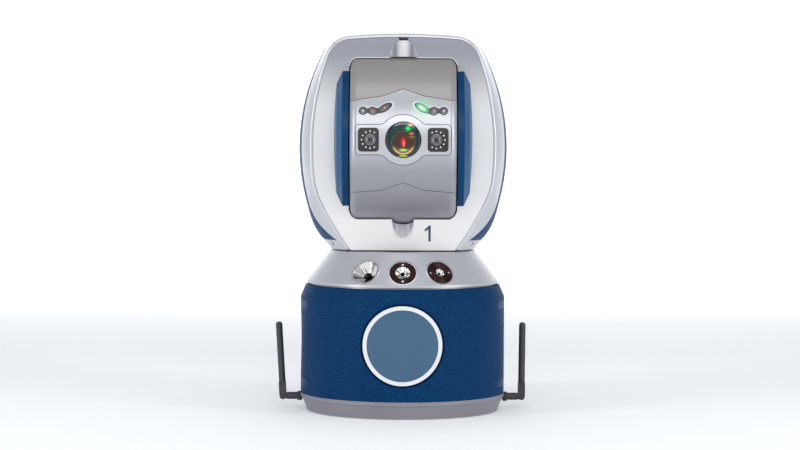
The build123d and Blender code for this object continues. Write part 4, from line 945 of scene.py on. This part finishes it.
# Painted highlight: a light dot in the middle of each pupil, standing for a glint.
pupil_glint_paint = 1 - camera_radius.soft(0.00035, 0.0006)
ring_grey = camera_metal.blend(steps_in.soft(-0.6, 0.8), (0.055, 0.058, 0.065), (0.26, 0.27, 0.29))
ring_tone = camera_metal.blend(iris, (0.01, 0.01, 0.012), ring_grey)
camera_metal.coloured(pupil_glint_paint * 0.8, ring_tone, (0.7, 0.7, 0.72))
camera_metal.textured(camera_marks, 0.12, 0.3)
ring_profile = [(0, 0), (0, 0.0016), (0.0005, 0.0019), (0.0003, 0.0023), (0.0006, 0.0031), (0.0004, 0.0034),
                (0.0008, 0.0042), (0.0006, 0.0048), (0.001, 0.0058), (0.0009, 0.0065), (-0.0004, 0.0066),
                (-0.0006, 0)]
camera_shapes = [((side * camera_column, camera_front, lens_height), (0, -1, 0)) for side in (-1, 1)]
settle("camera_lenses", turned(camera_shapes, [ring_profile] * 2), camera_metal, "head", 25)

# ---------------------------------------------------------------- indicator windows
# Smoked windows in a chain each side: two round ones and a slanting petal, joined by narrow necks.
# Each has a raised lip, a grey diffuser and a lamp in its middle; the right petal is lit green.
chain_level, petal_level = lens_height + 0.0307, lens_height + 0.0338
outer_x, inner_x, petal_x = 0.0429, 0.0327, 0.0197
round_radius, neck = 0.0048, 0.0048
petal_long, petal_wide, petal_lean = 0.0094, 0.0043, math.radians(-31)


def chain_depth(x, z):
    """How far a point lies outside the right-hand chain's outline; less than nought inside it."""
    u = (x - petal_x) * math.cos(petal_lean) + (z - petal_level) * math.sin(petal_lean)
    w = -(x - petal_x) * math.sin(petal_lean) + (z - petal_level) * math.cos(petal_lean)
    near = (math.hypot(u / petal_long, w / petal_wide) - 1) * petal_wide
    for round_x in (inner_x, outer_x):
        other = math.hypot(x - round_x, z - chain_level) - round_radius
        share = max(0.0, min(1.0, 0.5 + 0.5 * (other - near) / neck))
        near = other * (1 - share) + near * share - neck * share * (1 - share)
    return near


window_finish = Finish("smoked_windows", Coat_Weight=0.7, Coat_Roughness=0.06, Emission_Strength=0.75)
depth = window_finish.node("ShaderNodeAttribute", {"attribute_name": "depth"}, output="Fac")
glow = window_finish.node("ShaderNodeAttribute", {"attribute_name": "glow"}, output="Fac")
lip_share = depth.soft(-0.4, -0.1)
floor_share = 1 - depth.soft(-2.3, -1.2)
window_grain = window_finish.noise(1500.0, 3.0)
well = window_finish.blend(floor_share, (0.022, 0.022, 0.028), (0.115, 0.115, 0.13))
window_finish.coloured(lip_share, well, (0.66, 0.67, 0.7))
window_finish.textured(window_grain, 0.14, 0.3)
green_glow = window_finish.ramp(glow, (0.0, (0, 0, 0)), (0.45, (0.08, 0.85, 0.26)), (1.0, (0.85, 1.0, 0.88)))
window_finish.feed("Emission Color", green_glow)
step = 0.00035
for side, word in sides:
    work = bmesh.new()
    depth_layer = work.verts.layers.float.new("depth")
    glow_layer = work.verts.layers.float.new("glow")
    columns, rows = round(0.043 / step), round(0.021 / step)
    grid = {}
    for i in range(columns + 1):
        for j in range(rows + 1):
            x, z = 0.0085 + i * step, chain_level - 0.008 + j * step
            out = chain_depth(x, z) * 1000
            if out < 1.0:
                lip_height = 0.42 * math.exp(-((out - 0.05) / 0.38) ** 2)
                dish = -0.1 if out < -0.6 else 0.0
                radius = drum_radius + (lip_height + dish + 0.16 - 0.3 * max(0.0, out)) / 1000
                vert = work.verts.new((side * x, on_drum(radius, z), z))
                vert[depth_layer] = out
                lit = side > 0 and x < 0.0272
                vert[glow_layer] = max(0.0, min(1.0, (-out - 0.2) / 3.4)) if lit else 0.0
                grid[i, j] = vert
    for (i, j), vert in list(grid.items()):
        corners = [grid.get(key) for key in ((i, j), (i + 1, j), (i + 1, j + 1), (i, j + 1))]
        if all(corners):
            work.faces.new(corners[::-1] if side < 0 else corners)
    bmesh.ops.delete(work, geom=[v for v in work.verts if not v.link_faces], context="VERTS")
    chain = backed(work, "window", lambda y: y + 0.0016)
    settle("indicator_chain_" + word, chain, window_finish, "head", 60)
dress(black_plastic, "indicator_windows")

for colour, rgb, spots in (
        ("white", (0.95, 0.85, 0.74), (-outer_x, outer_x)),
        ("red", (0.95, 0.2, 0.06), (-inner_x,)),
        ("orange", (0.95, 0.38, 0.1), (-petal_x, inner_x))):
    glow_finish = Finish("lamp_" + colour, Emission_Strength=0.8, Roughness=0.2)
    bright = glow_finish.noise(2600.0)
    glow_finish.coloured(bright, shade(rgb, 0.6), shade(rgb, 0.85))
    glow_finish.feed("Emission Color", glow_finish.blend(bright, shade(rgb, 0.75), shade(rgb, 1.0)))
    spot_places = []
    for x in spots:
        z = petal_level if abs(x) == petal_x else chain_level
        spot_places.append(((x, on_drum(drum_radius + 0.0001, z), z), (0, -1, 0)))
    stand("indicator_lamps_" + colour, spot_places, dome_shape, glow_finish, "window_plastic", "head",
          dome=0.00075)

# ---------------------------------------------------------------- lens
# A coated objective set deep in a blackened barrel, behind a bright turned ring.
# The glass carries painted reflections: bands of teal, gold and green towards its lower edge, glints above and a
# red flare in the middle, and it glows in the same colours as painted light.
glass_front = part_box("objective_lens")[0][1]
blackened = Finish("blackened_barrel", Metallic=0.5)
barrel_rings = (blackened.axis("Y") * 9000.0).sine()
barrel_marks = blackened.noise(600.0, 3.0)
blackened.coloured(barrel_marks, (0.008, 0.008, 0.01), (0.02, 0.021, 0.026))
blackened.textured(barrel_marks, 0.16, 0.34)
blackened.bump(barrel_rings, 0.00008)
dress(blackened, "lens_barrel")

lens_glass = Finish("coated_glass", Coat_Weight=0.25, Coat_Roughness=0.03, Emission_Strength=0.12)
lens_x = lens_glass.axis("X")
lens_z = lens_glass.axis("Z") - lens_height
lens_radius = across(lens_x, lens_z)
low_radius = across(lens_x, lens_z + 0.0036)


def lens_spot(x, z, wide, high):
    """A soft oval of painted reflection on the glass."""
    return 1 - across((lens_x - x) / wide, (lens_z - z) / high).soft(0.35, 1.0)


def lens_band(radius, wide):
    """A soft ring of painted reflection round the low centre of the inner elements."""
    return 1 - ((low_radius - radius) / wide).size().soft(0.2, 1.0)


# Painted reflections: the rings, streaks, arcs and spots below stand for the reflections seen in the lens.
downward = (lens_z * -1.0).soft(0.0055, 0.0115)
tone = lens_glass.ramp(lens_radius / 0.0188, (0.0, (0.02, 0.008, 0.005)), (0.45, (0.012, 0.014, 0.009)),
                       (0.7, (0.003, 0.03, 0.034)), (0.9, (0.002, 0.016, 0.03)), (1.0, (0.002, 0.003, 0.008)))
for layer_z, layer_high in ((0.0148, 0.001), (0.012, 0.0009), (0.0092, 0.0011)):
    streak = 1 - ((lens_z - layer_z) / layer_high).size().soft(0.2, 1.0)
    tone = lens_glass.blend(streak * (1 - lens_radius.soft(0.015, 0.0172)) * 0.5, tone, (0.045, 0.085, 0.06))
side_arc = lens_x.size().soft(0.016, 0.017) * (1 - lens_x.size().soft(0.0172, 0.018))
painted_reflections = [
    (side_arc * 0.5, (0.16, 0.11, 0.02)),
    (1 - low_radius.soft(0.0088, 0.0104), (0.06, 0.02, 0.01)),
    (lens_band(0.0124, 0.0005) * 0.6, (0.22, 0.12, 0.03)),
    (lens_band(0.0104, 0.0005) * 0.5, (0.12, 0.07, 0.02)),
    (lens_band(0.0112, 0.001) * downward, (0.85, 0.46, 0.01)),
    (lens_band(0.0094, 0.0005) * downward * 0.8, (0.3, 0.16, 0.5)),
    (lens_spot(0.0, -0.0108, 0.0058, 0.0019), (0.28, 0.6, 0.05)),
    (lens_spot(0.0, -0.0171, 0.0066, 0.0013), (0.26, 0.5, 0.04)),
    (lens_spot(0.006, 0.0125, 0.0078, 0.005) * 0.55, (0.0, 0.16, 0.08)),
    (lens_spot(0.005, 0.012, 0.0034, 0.003), (0.01, 0.72, 0.13)),
    (lens_spot(0.0075, 0.0157, 0.0036, 0.002), (0.85, 0.26, 0.08)),
    (lens_spot(0.0086, 0.0066, 0.0036, 0.0014), (0.8, 0.12, 0.06)),
    (lens_spot(0.0092, 0.003, 0.005, 0.0022) * 0.5, (0.28, 0.17, 0.02)),
    (lens_spot(0.0000, -0.0026, 0.0034, 0.0068), (0.62, 0.008, 0.012)),
    (lens_spot(0.0006, -0.0042, 0.001, 0.0042), (0.95, 0.3, 0.26)),
]
for share, colour in painted_reflections:
    tone = lens_glass.blend(share, tone, colour)
lens_glass.feed("Base Color", tone)
lens_glass.feed("Roughness", lens_glass.span(lens_glass.noise(700.0), 0.03, 0.09))
# Painted light: the glass glows in its own painted colours.
lens_glass.feed("Emission Color", tone)
dome_profile = [(0.0072, 0), (0.00715, 0.004), (0.007, 0.008), (0.0067, 0.012), (0.0064, 0.0155),
                (0.0061, 0.0185), (0.0059, 0.0189), (0.0059, 0.0172), (-0.003, 0.017), (-0.003, 0)]
objective = turned([((0, glass_front, lens_height), (0, -1, 0))], [dome_profile], 96)
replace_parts(settle("coated_objective", objective, lens_glass, "head"), "objective_lens")

ring_front = [(0.0004, 0.0191), (0.001, 0.0193), (0.0011, 0.0197), (0.0006, 0.02), (-0.002, 0.0196),
              (-0.002, 0.0191)]
lens_ring = turned([((0, -0.099, lens_height), (0, -1, 0))], [ring_front], 96)
for corner in lens_ring.vertices:
    corner.co.y += drum_radius + on_drum(drum_radius, corner.co.z)
settle("lens_ring", lens_ring, bright_edge, "head")
